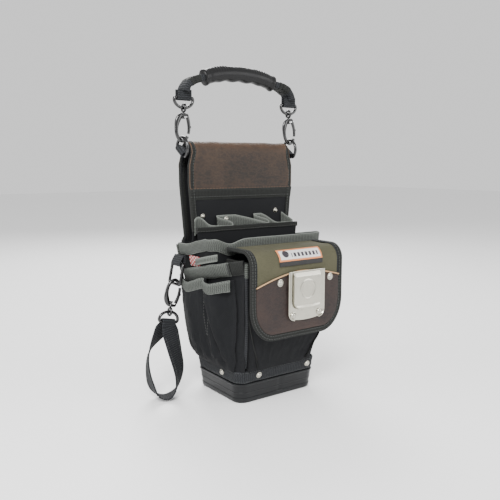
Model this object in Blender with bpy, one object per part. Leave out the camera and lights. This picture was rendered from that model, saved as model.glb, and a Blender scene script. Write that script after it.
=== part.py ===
"""Electrician's tool pouch. Metres, +Z up, +X to the right of the pouch, +Y to its back.
The origin is the middle of the base's flat underside. Inside this file lengths are in millimetres
until a mesh is made, where MM turns them into metres."""
import math

import bmesh
import bpy
import numpy as np

MM = 0.001

# Driving dimensions
BASE_X, BASE_Y = 60.5, 48.5        # half sizes of the tray's underside
BASE_HEIGHT = 26.0
BASE_FLARE = 3.0                   # how far each side of the tray leans out over its height
BASE_CORNER = 14.0
TRAY_WALL = 3.0
BAND_LOW, BAND_HIGH = 27.0, 42.0
BAND_THICK = 2.3
GAP = 0.3                          # between pieces that touch
WALL = 2.4                         # thickness of the pocket walls
SEAM_X = 45.0                      # seams between the front or back wall and the side walls
RIM_TOP = 206.0                    # mean height of the main pocket's rim
RIM_TALL = 15.0
WEBBING = 1.6                      # thickness of the grey webbing
BACK_Y = 51.2                      # outer face of the pocket's back wall above the band
PANEL_Y = 51.6                     # front face of the back panel
PANEL_THICK = 4.2
HOOD_FRONT = 30.0                  # front face of the hood's front panel
HOOD_THICK = 2.5
HOOD_HALF = 84.0
HOOD_TOP_HALF = 80.0               # half width where the hood turns over
HOOD_TURN_Z = 316.0                # where the hood starts to turn over
LEATHER_LOW = 267.0
LEATHER_THICK = 1.6
LEATHER_BACK_LOW = 296.0           # lower edge of the leather on the back
DIVIDER_THICK = 2.4
BELT_LOOP_HALF, BELT_LOOP_THICK, BELT_GAP = 35.0, 2.6, 9.0
LOOP_TALL = 21.0                   # height of the tool loops' webbing
POCKET_RIVET = (4.2, 2.6)          # radius and height of each kind of rivet
LOOP_RIVET = (3.4, 2.0)
FLAP_RIVET = (4.6, 2.4)
DIVIDER_Y, DIVIDER_TOP = 13.0, 219.0
FLAP_HALF, FLAP_FRONT, FLAP_TOP, FLAP_LOW, FLAP_BEND = 72.0, -90.5, 199.5, 90.0, 18.0
FLAP_CORNER = (34.0, 42.0)         # half axes of the flap's rounded lower corners
FLAP_HINGE = (0.0, -38.5, 199.0)
RING_X, RING_Y, RING_Z = 88.0, 38.2, 322.0   # middle of a lower D-ring's arc
RING_TILT = math.radians(34)       # slope of the lower D-rings' straight bars
RING_R, RING_WIRE, RING_LEG = 13.5, 2.0, 5.0
UPPER_RING_DEEP, UPPER_RING_LEG = 10.5, 2.5
HOOK_LEAN = 4.5                    # degrees that the handle's hooks lean inwards
GRIP_TOP = 430.0
STRAP_TOP = (-102.5, 28.0, 175.5)  # middle of the strap's upper ring bar
STRAP_LEAN = 12.0                  # degrees that the strap leans away from the pouch

# A snap hook in its own plane, across and up from the middle of the wire that it holds
HOOK_PATH = ((-2.6, 28.2), (-5.6, 24.6), (-8.2, 18.6), (-9.0, 11.5), (-8.2, 4.2), (-5.2, -2.0), (0, -4.9),
             (4.8, -2.6), (7.4, 1.2))
GATE_PATH = ((8.7, 4.6), (9.2, 10.5), (8.3, 18.0), (6.0, 25.6))
GATE_PIVOT = (6.4, 24.0)
SWIVEL_UP = 28.0                   # middle of the swivel's collar
EYE_UP = 36.5                      # middle of the swivel's eye
EYE_R, EYE_WIRE = 4.6, 1.6

# Heights, half widths and fronts of the meter pocket
METER_LEVELS = ((BAND_HIGH + 0.8, 51, -56.5), (75, 57, -68), (110, 62, -77), (150, 66.5, -83),
                (184, 68, -84.5))

COLOURS = {
    "black_fabric": ((0.018, 0.020, 0.024), 0.85, 0.0),
    "binding": ((0.035, 0.037, 0.038), 0.8, 0.0),
    "grey_webbing": ((0.19, 0.20, 0.18), 0.85, 0.0),
    "black_webbing": ((0.02, 0.02, 0.022), 0.75, 0.0),
    "leather": ((0.16, 0.075, 0.04), 0.6, 0.0),
    "flap_leather": ((0.055, 0.035, 0.03), 0.6, 0.0),
    "olive_fabric": ((0.15, 0.15, 0.085), 0.85, 0.0),
    "moulded_plastic": ((0.045, 0.046, 0.048), 0.45, 0.0),
    "rubber": ((0.02, 0.02, 0.02), 0.6, 0.0),
    "black_metal": ((0.012, 0.012, 0.013), 0.3, 0.6),
    "nickel": ((0.78, 0.76, 0.68), 0.3, 1.0),
    "label": ((0.8, 0.75, 0.7), 0.6, 0.0),
}

materials = {}
bodies = {}


def clear_scene():
    for thing in list(bpy.data.objects):
        bpy.data.objects.remove(thing, do_unlink=True)


def material(slot):
    if slot not in materials:
        colour, roughness, metallic = COLOURS[slot]
        made = bpy.data.materials.new(slot)
        made.use_nodes = True
        shader = made.node_tree.nodes["Principled BSDF"]
        shader.inputs["Base Color"].default_value = (*colour, 1.0)
        shader.inputs["Roughness"].default_value = roughness
        shader.inputs["Metallic"].default_value = metallic
        materials[slot] = made
    return materials[slot]


def body(name, pivot, parent=None):
    """An empty on a moving body's joint axis, which carries the body's pieces."""
    empty = bpy.data.objects.new("axis_" + name, None)
    bpy.context.scene.collection.objects.link(empty)
    place = np.array(pivot, float) * MM
    if parent:
        empty.parent = bodies[parent][0]
        empty.location = place - bodies[parent][1]
    else:
        empty.location = place
    bodies[name] = (empty, place)


def add(name, slot, verts, faces, on=None, smooth=30):
    """A closed solid from points in millimetres, carried by a body's empty where it moves."""
    mesh = bpy.data.meshes.new(name)
    points = np.array(verts, float) * MM
    if on:
        points = points - bodies[on][1]
    mesh.from_pydata([tuple(p) for p in points], [], [tuple(f) for f in faces])
    work = bmesh.new()
    work.from_mesh(mesh)
    bmesh.ops.recalc_face_normals(work, faces=work.faces)
    if work.calc_volume(signed=True) < 0:
        bmesh.ops.reverse_faces(work, faces=work.faces)
    work.to_mesh(mesh)
    work.free()
    mesh.shade_smooth()
    mesh.set_sharp_from_angle(angle=math.radians(smooth))
    mesh.materials.append(material(slot))
    made = bpy.data.objects.new(name, mesh)
    bpy.context.scene.collection.objects.link(made)
    if on:
        made.parent = bodies[on][0]
    return made


# Curves and grids

def spline(points, count, closed=False):
    """Evenly spaced points along a smooth curve through the given ones."""
    p = np.array(points, float)
    n = len(p)
    spans = n if closed else n - 1
    fine = []
    for i in range(spans):
        if closed:
            a, b, c, d = (p[(i + k) % n] for k in (-1, 0, 1, 2))
        else:
            a, b, c, d = (p[min(max(i + k, 0), n - 1)] for k in (-1, 0, 1, 2))
        for t in np.linspace(0, 1, 24, endpoint=False):
            fine.append(0.5 * (2 * b + (c - a) * t + (2 * a - 5 * b + 4 * c - d) * t * t
                               + (3 * b - a - 3 * c + d) * t ** 3))
    fine.append(p[0] if closed else p[-1])
    fine = np.array(fine)
    run = np.concatenate([[0], np.cumsum(np.linalg.norm(np.diff(fine, axis=0), axis=1))])
    at = np.linspace(0, run[-1], count + 1)[:-1] if closed else np.linspace(0, run[-1], count)
    return np.stack([np.interp(at, run, fine[:, k]) for k in range(fine.shape[1])], axis=1)


def arc(centre, radius, start, end, count):
    """Points of an arc in a plane, angles in degrees."""
    a = np.radians(np.linspace(start, end, count))
    return [(centre[0] + radius * math.cos(t), centre[1] + radius * math.sin(t)) for t in a]


def slab(name, slot, outer, inner, on=None, smooth=30, closed=False):
    """A closed solid between two grids of points, rows by columns. A closed one joins its last
    column to its first."""
    outer, inner = np.array(outer, float), np.array(inner, float)
    rows, cols = outer.shape[:2]
    count = rows * cols
    verts = np.concatenate([outer.reshape(-1, 3), inner.reshape(-1, 3)])
    around = cols if closed else cols - 1

    def at(r, c):
        return r * cols + c % cols

    faces = []
    for r in range(rows - 1):
        for c in range(around):
            quad = (at(r, c), at(r, c + 1), at(r + 1, c + 1), at(r + 1, c))
            faces += [quad, tuple(count + v for v in reversed(quad))]
    for c in range(around):
        for r, turn in ((0, 1), (rows - 1, -1)):
            a, b = at(r, c), at(r, c + 1)
            faces.append((a, count + a, count + b, b)[::turn])
    if not closed:
        for r in range(rows - 1):
            for c, turn in ((0, -1), (cols - 1, 1)):
                a, b = at(r, c), at(r + 1, c)
                faces.append((a, count + a, count + b, b)[::turn])
    return add(name, slot, verts, faces, on, smooth)


def plan_normals(row, closed=False):
    """Sideways unit normals along one row of points, to the right of the way that it runs."""
    row = np.array(row, float)
    if closed:
        along = np.roll(row, -1, axis=0) - np.roll(row, 1, axis=0)
    else:
        along = np.gradient(row, axis=0)
    side = np.stack([along[:, 1], -along[:, 0], np.zeros(len(row))], axis=1)
    return side / np.linalg.norm(side, axis=1)[:, None]


def offset(grid, distance, closed=False):
    grid = np.array(grid, float)
    return np.stack([row + plan_normals(row, closed) * distance for row in grid])


def sweep(name, slot, path, side, up, section, closed=False, on=None, smooth=40):
    """A section moved along a path. side and up are the two directions of each section point."""
    path = np.array(path, float)
    side = np.broadcast_to(np.array(side, float), path.shape)
    up = np.broadcast_to(np.array(up, float), path.shape)
    if np.ndim(section) == 2:
        section = [section] * len(path)
    rings = [[p + a * s + b * u for a, b in shape]
             for p, s, u, shape in zip(path, side, up, section)]
    n, m = len(rings), len(rings[0])
    verts = [v for ring in rings for v in ring]
    faces = []
    for i in range(n if closed else n - 1):
        for k in range(m):
            a, b = i * m + k, i * m + (k + 1) % m
            c, d = ((i + 1) % n) * m + (k + 1) % m, ((i + 1) % n) * m + k
            faces.append((a, b, c, d))
    if not closed:
        faces += [tuple(range(m)), tuple(reversed(range((n - 1) * m, n * m)))]
    return add(name, slot, verts, faces, on, smooth)


def planar_sides(path, normal, closed=False):
    """In-plane sideways directions for a path that lies in a plane."""
    path = np.array(path, float)
    if closed:
        along = np.roll(path, -1, axis=0) - np.roll(path, 1, axis=0)
    else:
        along = np.gradient(path, axis=0)
    side = np.cross(along, normal)
    return side / np.linalg.norm(side, axis=1)[:, None]


def wire(radius, sides=6, flat=1.0):
    return [(radius * math.cos(2 * math.pi * (k + 0.5) / sides),
             radius * flat * math.sin(2 * math.pi * (k + 0.5) / sides)) for k in range(sides)]


def box_section(wide, tall):
    return [(-wide / 2, -tall / 2), (wide / 2, -tall / 2), (wide / 2, tall / 2), (-wide / 2, tall / 2)]


def rounded_rect(half_x, half_y, radius, z, per_corner=4):
    points = []
    for sx, sy, start in ((1, 1, 0), (-1, 1, 90), (-1, -1, 180), (1, -1, 270)):
        centre = (sx * (half_x - radius), sy * (half_y - radius))
        points += [(x, y, z) for x, y in arc(centre, radius, start, start + 90, per_corner)]
    return points


def dome(name, centre, normal, radius, height, on=None, slot="nickel", sides=10):
    """A rivet's head: a low dome on a round foot."""
    normal = np.array(normal, float) / np.linalg.norm(normal)
    helper = np.array((0, 0, 1.0)) if abs(normal[2]) < 0.8 else np.array((1.0, 0, 0))
    a = np.cross(normal, helper)
    a /= np.linalg.norm(a)
    b = np.cross(normal, a)
    verts, levels = [], ((1.0, 0.0), (0.96, 0.45), (0.62, 0.85))
    for size, rise in levels:
        for k in range(sides):
            t = 2 * math.pi * k / sides
            verts.append(np.array(centre) + radius * size * (math.cos(t) * a + math.sin(t) * b)
                         + normal * height * rise)
    verts.append(np.array(centre) + normal * height)
    top = len(verts) - 1
    faces = [tuple(range(sides))]
    for r in range(len(levels) - 1):
        for k in range(sides):
            n = (k + 1) % sides
            faces.append((r * sides + k, r * sides + n, (r + 1) * sides + n, (r + 1) * sides + k))
    last = (len(levels) - 1) * sides
    faces += [(last + k, last + (k + 1) % sides, top) for k in range(sides)]
    return add(name, slot, verts, faces, on, 50)


# Outline of the main pocket

def blend(a, b, t):
    return a + (b - a) * min(max(t, 0.0), 1.0)


def flare(z):
    """How far the tray and the fabric in it lean out at a height."""
    return BASE_FLARE * z / BASE_HEIGHT


def side_x(z):
    """Half width of the main pocket outside its walls."""
    low = BASE_X - TRAY_WALL - GAP + flare(min(z, BAND_HIGH))
    rise = (z - BAND_HIGH) / (RIM_TOP - BAND_HIGH)
    return low if rise <= 0 else low + 25.5 * rise ** 0.8


def front_y(z):
    """How far the front wall stands in front of the middle."""
    low = BASE_Y - TRAY_WALL - GAP + flare(min(z, BAND_HIGH))
    rise = (z - BAND_HIGH) / (RIM_TOP - BAND_HIGH)
    return low if rise <= 0 else low - 18.0 * rise ** 0.8


def back_y(z):
    return min(BASE_Y - TRAY_WALL - GAP + flare(min(z, BAND_HIGH)), BACK_Y)


def side_bulge(z, y):
    """The side walls belly out towards the back at the rim."""
    rise = min(max((z - BAND_HIGH) / (RIM_TOP - BAND_HIGH), 0.0), 1.0)
    return 8.0 * rise * min(max((y + 33.0) / 76.0, 0.0), 1.0)


def side_path(z, sign, corner=11.0):
    """Plan of a side wall's outer face at a height, from the back seam round to the front seam."""
    x, yf, yb = side_x(z), front_y(z), back_y(z)
    plan = [(-SEAM_X - GAP / 2, yb)]
    plan += arc((-x + corner, yb - corner), corner, 90, 180, 4)
    plan += [(-x, y) for y in np.linspace(yb - corner - 8, -yf + corner + 8, 5)]
    plan += arc((-x + corner, -yf + corner), corner, 180, 270, 4)
    plan += [(-SEAM_X - GAP / 2, -yf)]
    out = []
    for px, py in plan:
        lean = side_bulge(z, py) * min(1.0, (abs(px) - SEAM_X) / (x - SEAM_X))
        out.append((sign * -(px - lean), py, z) if sign > 0 else (px - lean, py, z))
    return out


def rim_height(x, y):
    """Top edge of the rim: low at the back corners, high at the front corners, dipping between."""
    if y > -20:
        return blend(209.0, 200.0, (y + 20) / 60)
    dip = 5.0 * math.exp(-((x + 66) / 16) ** 2)
    return 209.0 - dip


def base():
    rings = [rounded_rect(BASE_X - 1.2, BASE_Y - 1.2, BASE_CORNER - 1.2, 0),
             rounded_rect(BASE_X, BASE_Y, BASE_CORNER, 1.2),
             rounded_rect(BASE_X + BASE_FLARE, BASE_Y + BASE_FLARE, BASE_CORNER + 1, BASE_HEIGHT),
             rounded_rect(BASE_X + BASE_FLARE - TRAY_WALL, BASE_Y + BASE_FLARE - TRAY_WALL,
                          BASE_CORNER - 3, BASE_HEIGHT),
             rounded_rect(BASE_X - TRAY_WALL + 0.3, BASE_Y - TRAY_WALL + 0.3, BASE_CORNER - 3, TRAY_WALL)]
    m = len(rings[0])
    verts = [v for ring in rings for v in ring]
    faces = [tuple(reversed(range(m))), tuple(range(4 * m, 5 * m))]
    for r in range(4):
        for k in range(m):
            n = (k + 1) % m
            faces.append((r * m + k, r * m + n, (r + 1) * m + n, (r + 1) * m + k))
    add("base_tray", "moulded_plastic", verts, faces)

    def band_ring(z, out):
        x = BASE_X - TRAY_WALL - GAP + flare(z) + GAP + out
        y = BASE_Y - TRAY_WALL - GAP + flare(z) + GAP + out
        return rounded_rect(x, y, 11.5 + out, z)
    slab("base_band", "black_webbing", [band_ring(z, BAND_THICK) for z in (BAND_LOW, BAND_HIGH)],
         [band_ring(z, 0) for z in (BAND_LOW, BAND_HIGH)], closed=True)
    mid = (BAND_LOW + BAND_HIGH) / 2
    out_x = BASE_X - TRAY_WALL + flare(mid) + BAND_THICK + GAP
    out_y = BASE_Y - TRAY_WALL + flare(mid) + BAND_THICK + GAP
    lean = math.atan(BASE_FLARE / BASE_HEIGHT)
    for name, centre, normal in (
            ("base_rivet_front_left", (-32, -out_y, mid), (0, -math.cos(lean), -math.sin(lean))),
            ("base_rivet_front_right", (48, -out_y, mid), (0, -math.cos(lean), -math.sin(lean))),
            ("base_rivet_left", (-out_x, -15, mid), (-math.cos(lean), 0, -math.sin(lean))),
            ("base_rivet_right", (out_x, -15, mid), (math.cos(lean), 0, -math.sin(lean)))):
        dome(name, centre, normal, *POCKET_RIVET)


def main_pocket():
    levels = (4, BASE_HEIGHT, BAND_HIGH, 75, 110, 150, 190)
    for name, sign in (("left_wall", -1), ("right_wall", 1)):
        outer = [side_path(z, sign) for z in levels]
        outer.append([(x, y, rim_height(x, y) - 1.0) for x, y, _ in side_path(RIM_TOP, sign)])
        slab(name, "black_fabric", outer, offset(outer, sign * WALL))
    across = np.linspace(-SEAM_X + GAP / 2, SEAM_X - GAP / 2, 7)
    front = [[(x, -front_y(z), z) for x in across] for z in levels]
    front.append([(x, -front_y(RIM_TOP), rim_height(x, -33) - 1.0) for x in across])
    slab("front_wall", "black_fabric", front, np.array(front) + (0, WALL, 0))
    back = [[(x, back_y(z), z) for x in across[::3]] for z in (4, BASE_HEIGHT, BAND_HIGH, 198)]
    slab("back_wall", "black_fabric", back, np.array(back) - (0, WALL, 0))

    # The rim's webbing runs round the outside of the walls from one back corner to the other.
    def rim_plan(z):
        front = [(x, -front_y(z), z) for x in np.linspace(-SEAM_X, SEAM_X, 7)]
        return side_path(z, -1)[2:-1] + front + side_path(z, 1)[-2:1:-1]
    high = np.array([(x, y, rim_height(x, y)) for x, y, _ in rim_plan(RIM_TOP)])
    low = np.array(rim_plan(RIM_TOP - RIM_TALL))
    low[:, 2] = high[:, 2] - RIM_TALL
    inside = offset([low, high], 2 * GAP)
    slab("rim_webbing", "grey_webbing", offset(inside, WEBBING), inside)


def hood():
    def half(z):
        if z > 300:
            return blend(HOOD_HALF, HOOD_TOP_HALF, (z - 300) / (HOOD_TURN_Z - 300))
        if z > 205:
            return blend(78, HOOD_HALF, (z - 205) / 70)
        return blend(side_x(z) - WALL - 2.5, 78, (z - 200) / 5)

    # Back panel, standing behind the pocket's back wall
    heights = (BAND_HIGH + 0.6, 80, 140, 205, 270, 300, HOOD_TURN_Z - 1)
    widths = [min(half(z), side_x(z) + 1) if z < 205 else half(z) for z in heights]
    near = [[(x, PANEL_Y, z) for x in np.linspace(-w, w, 3)] for z, w in zip(heights, widths)]
    slab("back_panel", "black_fabric", near, np.array(near) + (0, PANEL_THICK, 0))

    # Front panel: up the front, then over the top to the back panel
    mid_y = (HOOD_FRONT + PANEL_Y + PANEL_THICK) / 2
    outer_r = mid_y - HOOD_FRONT
    turn = (0, 25, 50, 75, 100, 125, 150, 176)

    def curl(thickness):
        rows = [[(x, HOOD_FRONT + thickness, z) for x in np.linspace(-half(z), half(z), 3)]
                for z in (60, 120, 180, 200, 205, 270, 300)]
        for a in turn:
            r = outer_r - thickness
            y = mid_y - r * math.cos(math.radians(a))
            z = HOOD_TURN_Z + r * math.sin(math.radians(a))
            rows.append([(x, y, z) for x in np.linspace(-HOOD_TOP_HALF, HOOD_TOP_HALF, 3)])
        return rows
    slab("front_panel", "black_fabric", curl(0), curl(HOOD_THICK), smooth=40)

    # Leather cover over the upper front, the turn and a little of the back
    def cover(out):
        rows = [[(x, HOOD_FRONT - out, z) for x in np.linspace(-half(z), half(z), 3)]
                for z in (LEATHER_LOW, 300)]
        across = np.linspace(-HOOD_TOP_HALF, HOOD_TOP_HALF, 3)
        for a in (0, 25, 50, 75, 100, 125, 150, 180):
            r = outer_r + out
            y = mid_y - r * math.cos(math.radians(a))
            z = HOOD_TURN_Z + r * math.sin(math.radians(a))
            rows.append([(x, y, z) for x in across])
        rows.append([(x, mid_y + outer_r + out, LEATHER_BACK_LOW) for x in across])
        return rows
    slab("leather_hood", "leather", cover(GAP + LEATHER_THICK), cover(GAP), smooth=40)

    # Divider and the tool loops' webbing between it and the front panel
    rows = [(48, 57), (120, 70), (200, 80), (DIVIDER_TOP, 82)]
    near = [[(x, DIVIDER_Y, z) for x in np.linspace(-w, w, 3)] for z, w in rows]
    slab("divider_panel", "black_fabric", near, np.array(near) + (0, DIVIDER_THICK, 0))
    tool_loops()

    # Belt loop on the back: a guess at what the hidden side carries
    near = PANEL_Y + PANEL_THICK + GAP
    far = near + BELT_GAP
    inner = [(near, 205), (near, 214), (far, 222), (far, 273), (near, 281), (near, 290)]
    near, far = near + BELT_LOOP_THICK, far + BELT_LOOP_THICK
    outer = [(near, 205), (near, 211.5), (far, 220), (far, 275), (near, 283.5), (near, 290)]
    sides = (-BELT_LOOP_HALF, BELT_LOOP_HALF)
    slab("belt_loop", "black_webbing", [[(x, y, z) for x in sides] for y, z in inner],
         [[(x, y, z) for x in sides] for y, z in outer])


def tool_loops():
    """One strip of webbing that runs along the divider and folds back to the front panel three times."""
    plan = [(-79, 24.5), (-73, 26.8), (-67, 25), (-60, 19.8), (-50, 18.4), (-28, 18.0), (-23.2, 19.2),
            (-26, 21.4), (-38, 24.2), (-43.5, 26.0), (-41, 28.0), (-29, 28.0), (-18, 27.4), (0, 24.6),
            (22, 20.6), (33, 18.4), (37.6, 19.4), (34.5, 21.6), (24, 24.0), (16.6, 26.2), (19, 28.2),
            (27, 27.4), (36, 24.6), (44, 20.2), (52, 18.0), (74, 18.0), (79.2, 19.2), (76.5, 21.4),
            (70, 24.6), (65, 27.8)]
    middle = spline(plan, 78)
    high = np.array([(x, y, blend(221.0, 234.0, (y - 18) / 9)) for x, y in middle])
    side = plan_normals(high)
    low = high - (0, 0, LOOP_TALL)
    half = WEBBING / 2 - 0.1
    slab("tool_loop_webbing", "grey_webbing", [low + side * half, high + side * half],
         [low - side * half, high - side * half])
    feet = ((-64, HOOD_FRONT - GAP, 233.5), (-29, 26.9, 228.5), (56, HOOD_FRONT - GAP, 236.5))
    for k, foot in enumerate(feet):
        dome("loop_rivet_%d" % (k + 1), foot, (0, -1, 0), *LOOP_RIVET)


def front_pocket():
    """The meter pocket: two sides and a front, sewn to the front wall."""
    outer = []
    for z, x, y in METER_LEVELS:
        back = -front_y(z) - GAP
        r = 9.0 if z > 60 else 3.0
        plan = [(-x, back), (-x, (back + y + r) / 2)] + arc((-x + r, y + r), r, 180, 270, 4)
        plan += [(0, y)] + arc((x - r, y + r), r, 270, 360, 4) + [(x, (back + y + r) / 2), (x, back)]
        outer.append([(px, py, z) for px, py in plan])
    slab("meter_pocket", "black_fabric", outer, offset(outer, -WALL))
    strip = [[(x, y, z) for x in (-26, 26)] for y, z in ((-83.9, 150), (-85.0, 168), (-85.2, 178))]
    slab("pocket_closure_strip", "black_webbing", strip, np.array(strip) - (0, 1.0, 0))


def flap_width(z, inset=0.0):
    """Half width of the flap's front face, or of a sheet on it whose edge is inset at the corners."""
    wide, tall = FLAP_CORNER
    drop = max(0.0, FLAP_LOW + tall - z)
    return FLAP_HALF - wide + (wide - inset) * math.sqrt(max(0.0, 1 - (drop / (tall - inset)) ** 2))


def flap_turn(angle, out):
    """Point (y, z) of the flap's front bend, out from its outer face, with the angle above level."""
    r = FLAP_BEND + out
    a = math.radians(angle)
    return FLAP_FRONT + FLAP_BEND - r * math.cos(a), FLAP_TOP - FLAP_BEND + r * math.sin(a)


def flap():
    body("flap", FLAP_HINGE)

    def across(y, z, half, count=5):
        return [(x, y, z) for x in np.linspace(-half, half, count)]

    def face(out):
        """From the hinge forwards, over the front bend and down the front."""
        rows = [across(FLAP_HINGE[1] - GAP, FLAP_TOP + out, FLAP_HALF)]
        rows += [across(*flap_turn(a, out), FLAP_HALF) for a in (90, 67, 45, 22, 0)]
        return rows + [across(FLAP_FRONT - out, z, flap_width(z))
                       for z in (150, 132, 120, 110, 102, 96, 92, FLAP_LOW)]
    slab("flap_panel", "olive_fabric", face(0), face(-1.7), on="flap", smooth=40)

    def front_sheet(name, slot, rows, thick, out=GAP):
        near = [across(FLAP_FRONT - out, z, half) for z, half in rows]
        slab(name, slot, near, np.array(near) - (0, thick, 0), on="flap")
    rows = [(z, flap_width(z, 8.0)) for z in (98.3, 101, 106, 112, 120, 132, 162)]
    front_sheet("flap_leather", "flap_leather", rows, 1.3)

    # Binding: a rim round both sides and the bottom of the front face
    edge = [(-flap_width(z), z) for z in (181, 160, 132, 118, 108, 100, 94, 90.8)]
    edge += [(-30, FLAP_LOW), (0, FLAP_LOW), (30, FLAP_LOW)] + [(-x, z) for x, z in reversed(edge)]
    path = np.array([(x, FLAP_FRONT - GAP - 0.8, z) for x, z in edge])
    inwards = planar_sides(path, (0, 1, 0))
    sweep("flap_binding", "binding", path + inwards * 3.7, inwards, (0, 1, 0), box_section(7.0, 1.5),
          on="flap")
    front_sheet("flap_closure_strip", "black_webbing", [(152, 24), (178, 24)], -1.0, -1.7 - GAP)

    def label(out):
        return [[(x, *flap_turn(a, out)) for x in (-35, 44)] for a in (4, 24, 44, 64, 82)]
    slab("label_patch", "label", label(GAP + 0.9), label(GAP), on="flap", smooth=40)
    clip()


def clip():
    """Metal tape clip: a flanged plate with a raised tongue, riveted to the flap."""
    left, right, low, high = -18.0, 38.0, 112.0, 172.0
    plate_y = FLAP_FRONT - GAP - 1.3 - GAP
    mid = (left + right) / 2
    half = (right - left) / 2
    rows = [(low, half - 5), (low + 1.6, half - 1.6), (low + 5, half), (high, half)]
    near = [[(mid + x, plate_y, z) for x in np.linspace(-w, w, 3)] for z, w in rows]
    slab("clip_plate", "nickel", near, np.array(near) - (0, 1.6, 0), on="flap")
    y = plate_y - 1.6 - GAP
    rows = [(high - 1, 22.0, 0), (high - 6, 22.0, 2.2), (142, 22.0, 2.8), (129, 21.5, 2.4),
            (124.5, 17.0, 2.0)]
    near = [[(mid + x, y - lift, z) for x in np.linspace(-w, w, 3)] for z, w, lift in rows]
    slab("clip_tongue", "nickel", near, np.array(near) - (0, 1.4, 0), on="flap")
    for name, x, z, foot in (("clip_rivet_left", mid - 21, 117.5, y),
                             ("clip_rivet_right", mid + 21, 117.5, y),
                             ("flap_rivet_left", mid - 40, 160, plate_y),
                             ("flap_rivet_right", mid + 40, 160, plate_y)):
        dome(name, (x, foot, z), (0, -1, 0), *FLAP_RIVET, on="flap")


def wall_x(z, y, out=0.0, corner=11.0):
    """How far from the middle a side wall's outer face reaches at a height and depth, grown by out."""
    past = corner - front_y(z) - y
    if past >= corner + out:
        return 0.0
    turn = corner + out if past <= 0 else math.sqrt((corner + out) ** 2 - past ** 2)
    return side_x(z) + side_bulge(z, y) - corner + turn


def meter_x(z):
    """Half width of the meter pocket at a height."""
    heights, widths, _ = zip(*METER_LEVELS)
    return float(np.interp(z, heights, widths))


def side_pockets():
    """Left: an outer panel whose top is the upper pocket, with two sleeves outside it. Right: two sleeves."""
    # Outer panel, from the back of the left side round to the meter pocket's front seam
    top = [(92.5, 30), (97, 8), (95.8, -14), (92.3, -34), (86.5, -54), (79, -69), (74.5, -79)]
    foot = [(66.4, 30), (66.8, 8), (66.6, -14), (65.5, -30), (62.5, -44), (59.5, -52), (57.5, -56.5)]
    top, foot = spline(top, 13), spline(foot, 13)
    tops = np.interp(top[:, 1], (-79, 30), (189, 166))

    def panel(drop):
        row = []
        for (x, y), (fx, fy), high in zip(top, foot, tops):
            t = drop / (high - BAND_HIGH - 1.2)
            lean = 6.5 * min(drop / 18, 1.0) * (1 - t)
            x, y, z = blend(x, fx, t ** 1.15) - lean, blend(y, fy, t), high - drop
            row.append((-max(x, wall_x(z, y, 3.4), meter_x(z) + 2.9), y, z))
        return row
    last = min(tops) - BAND_HIGH - 1.2
    upper, lower = np.array(panel(0)), np.array(panel(18))
    outer = [panel(d) for d in (last, 95, 70, 50, 32)] + [lower, upper]
    slab("left_upper_pocket", "black_fabric", outer, offset(outer, -2.0))
    base_row, top_row = offset([lower, upper], 5 * GAP)
    band = [base_row + (top_row - base_row) * t for t in (0.1, 0.95)]
    slab("left_upper_webbing", "grey_webbing", offset(band, WEBBING), band)

    left_top = [(95.5, 33), (99.6, 23), (102.4, 6), (99, -10), (94.6, -21), (99, -30), (97.6, -42),
                (89, -55), (82, -62)]
    left_foot = [(69.5, 30), (70, 10), (70, -10), (69, -30), (65.5, -46)]
    sleeves("left", -1, left_top, left_foot)
    right_top = [(93, 33), (99, 24), (99.5, 13), (93, 3), (92, -1), (99, -8), (98, -20), (91, -31)]
    right_foot = [(67.5, 31), (68, 15), (68, 0), (68, -15), (67.5, -28)]
    sleeves("right", 1, right_top, right_foot)


def sleeves(name, sign, plan, foot):
    """A strip of fabric sewn down in the middle and at both ends, with webbing along its top."""
    path, foot = spline(plan, 17), spline(foot, 17)
    heights = np.interp(path[:, 1], (-62, -38, -20, 5, 33), (164, 157, 163, 153, 160))

    def level(t):
        full = 1 - (1 - t) ** 1.5
        grid = foot * (1 - full) + path * full
        return np.array([(sign * x, y, (BAND_HIGH + 1.0) * (1 - t) + high * t)
                         for (x, y), high in zip(grid, heights)])
    outer = [level(t) for t in (0, 0.2, 0.45, 0.7, 0.88, 1.0)]
    slab(name + "_sleeves", "black_fabric", outer, offset(outer, sign * 1.8))
    lower, upper = outer[-2:]
    band = offset([lower + (upper - lower) * t for t in (0.05, 0.95)], -sign * GAP)
    slab(name + "_sleeve_webbing", "grey_webbing", offset(band, -sign * WEBBING), band)


# Rings and hooks

def d_ring(name, arc_centre, across, out, deep=RING_R, leg=RING_LEG, on=None):
    """A D-shaped wire ring: across runs along its straight bar and out points to its arc."""
    across, out = np.array(across, float), np.array(out, float)
    path = []
    radius, corner = RING_R, 2.5
    for x, y in arc((0, 0), radius, 0, 180, 10):
        path.append(x * across + y * deep / radius * out)
    path += [(-radius) * across - (leg - corner) * out, (-radius + corner) * across - leg * out,
             (radius - corner) * across - leg * out, radius * across - (leg - corner) * out]
    path = np.array(path) + np.array(arc_centre, float)
    normal = np.cross(across, out)
    sides = planar_sides(path, normal, True)
    return sweep(name, "black_metal", path, sides, normal, wire(RING_WIRE), True, on)


def turned(name, slot, foot, axis, profile, on, sides=10):
    """A body of revolution about an axis through foot: profile is (radius, height) all the way round."""
    axis = np.array(axis, float)
    a = np.cross(axis, (0, 1.0, 0))
    a /= np.linalg.norm(a)
    b = np.cross(axis, a)
    path = [a * math.cos(t) + b * math.sin(t) for t in np.linspace(0, 2 * math.pi, sides, endpoint=False)]
    if min(r for r, _ in profile) > 0:
        return sweep(name, slot, [np.array(foot, float)] * sides, path, axis, profile, True, on)
    rings = [(r, h) for r, h in profile if r > 0]
    verts = [np.array(foot) + r * p + h * axis for r, h in rings for p in path]
    faces = [tuple(range(sides)), tuple(range((len(rings) - 1) * sides, len(rings) * sides))]
    for i in range(len(rings) - 1):
        for k in range(sides):
            n = (k + 1) % sides
            faces.append((i * sides + k, i * sides + n, (i + 1) * sides + n, (i + 1) * sides + k))
    return add(name, slot, verts, faces, on)


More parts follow.
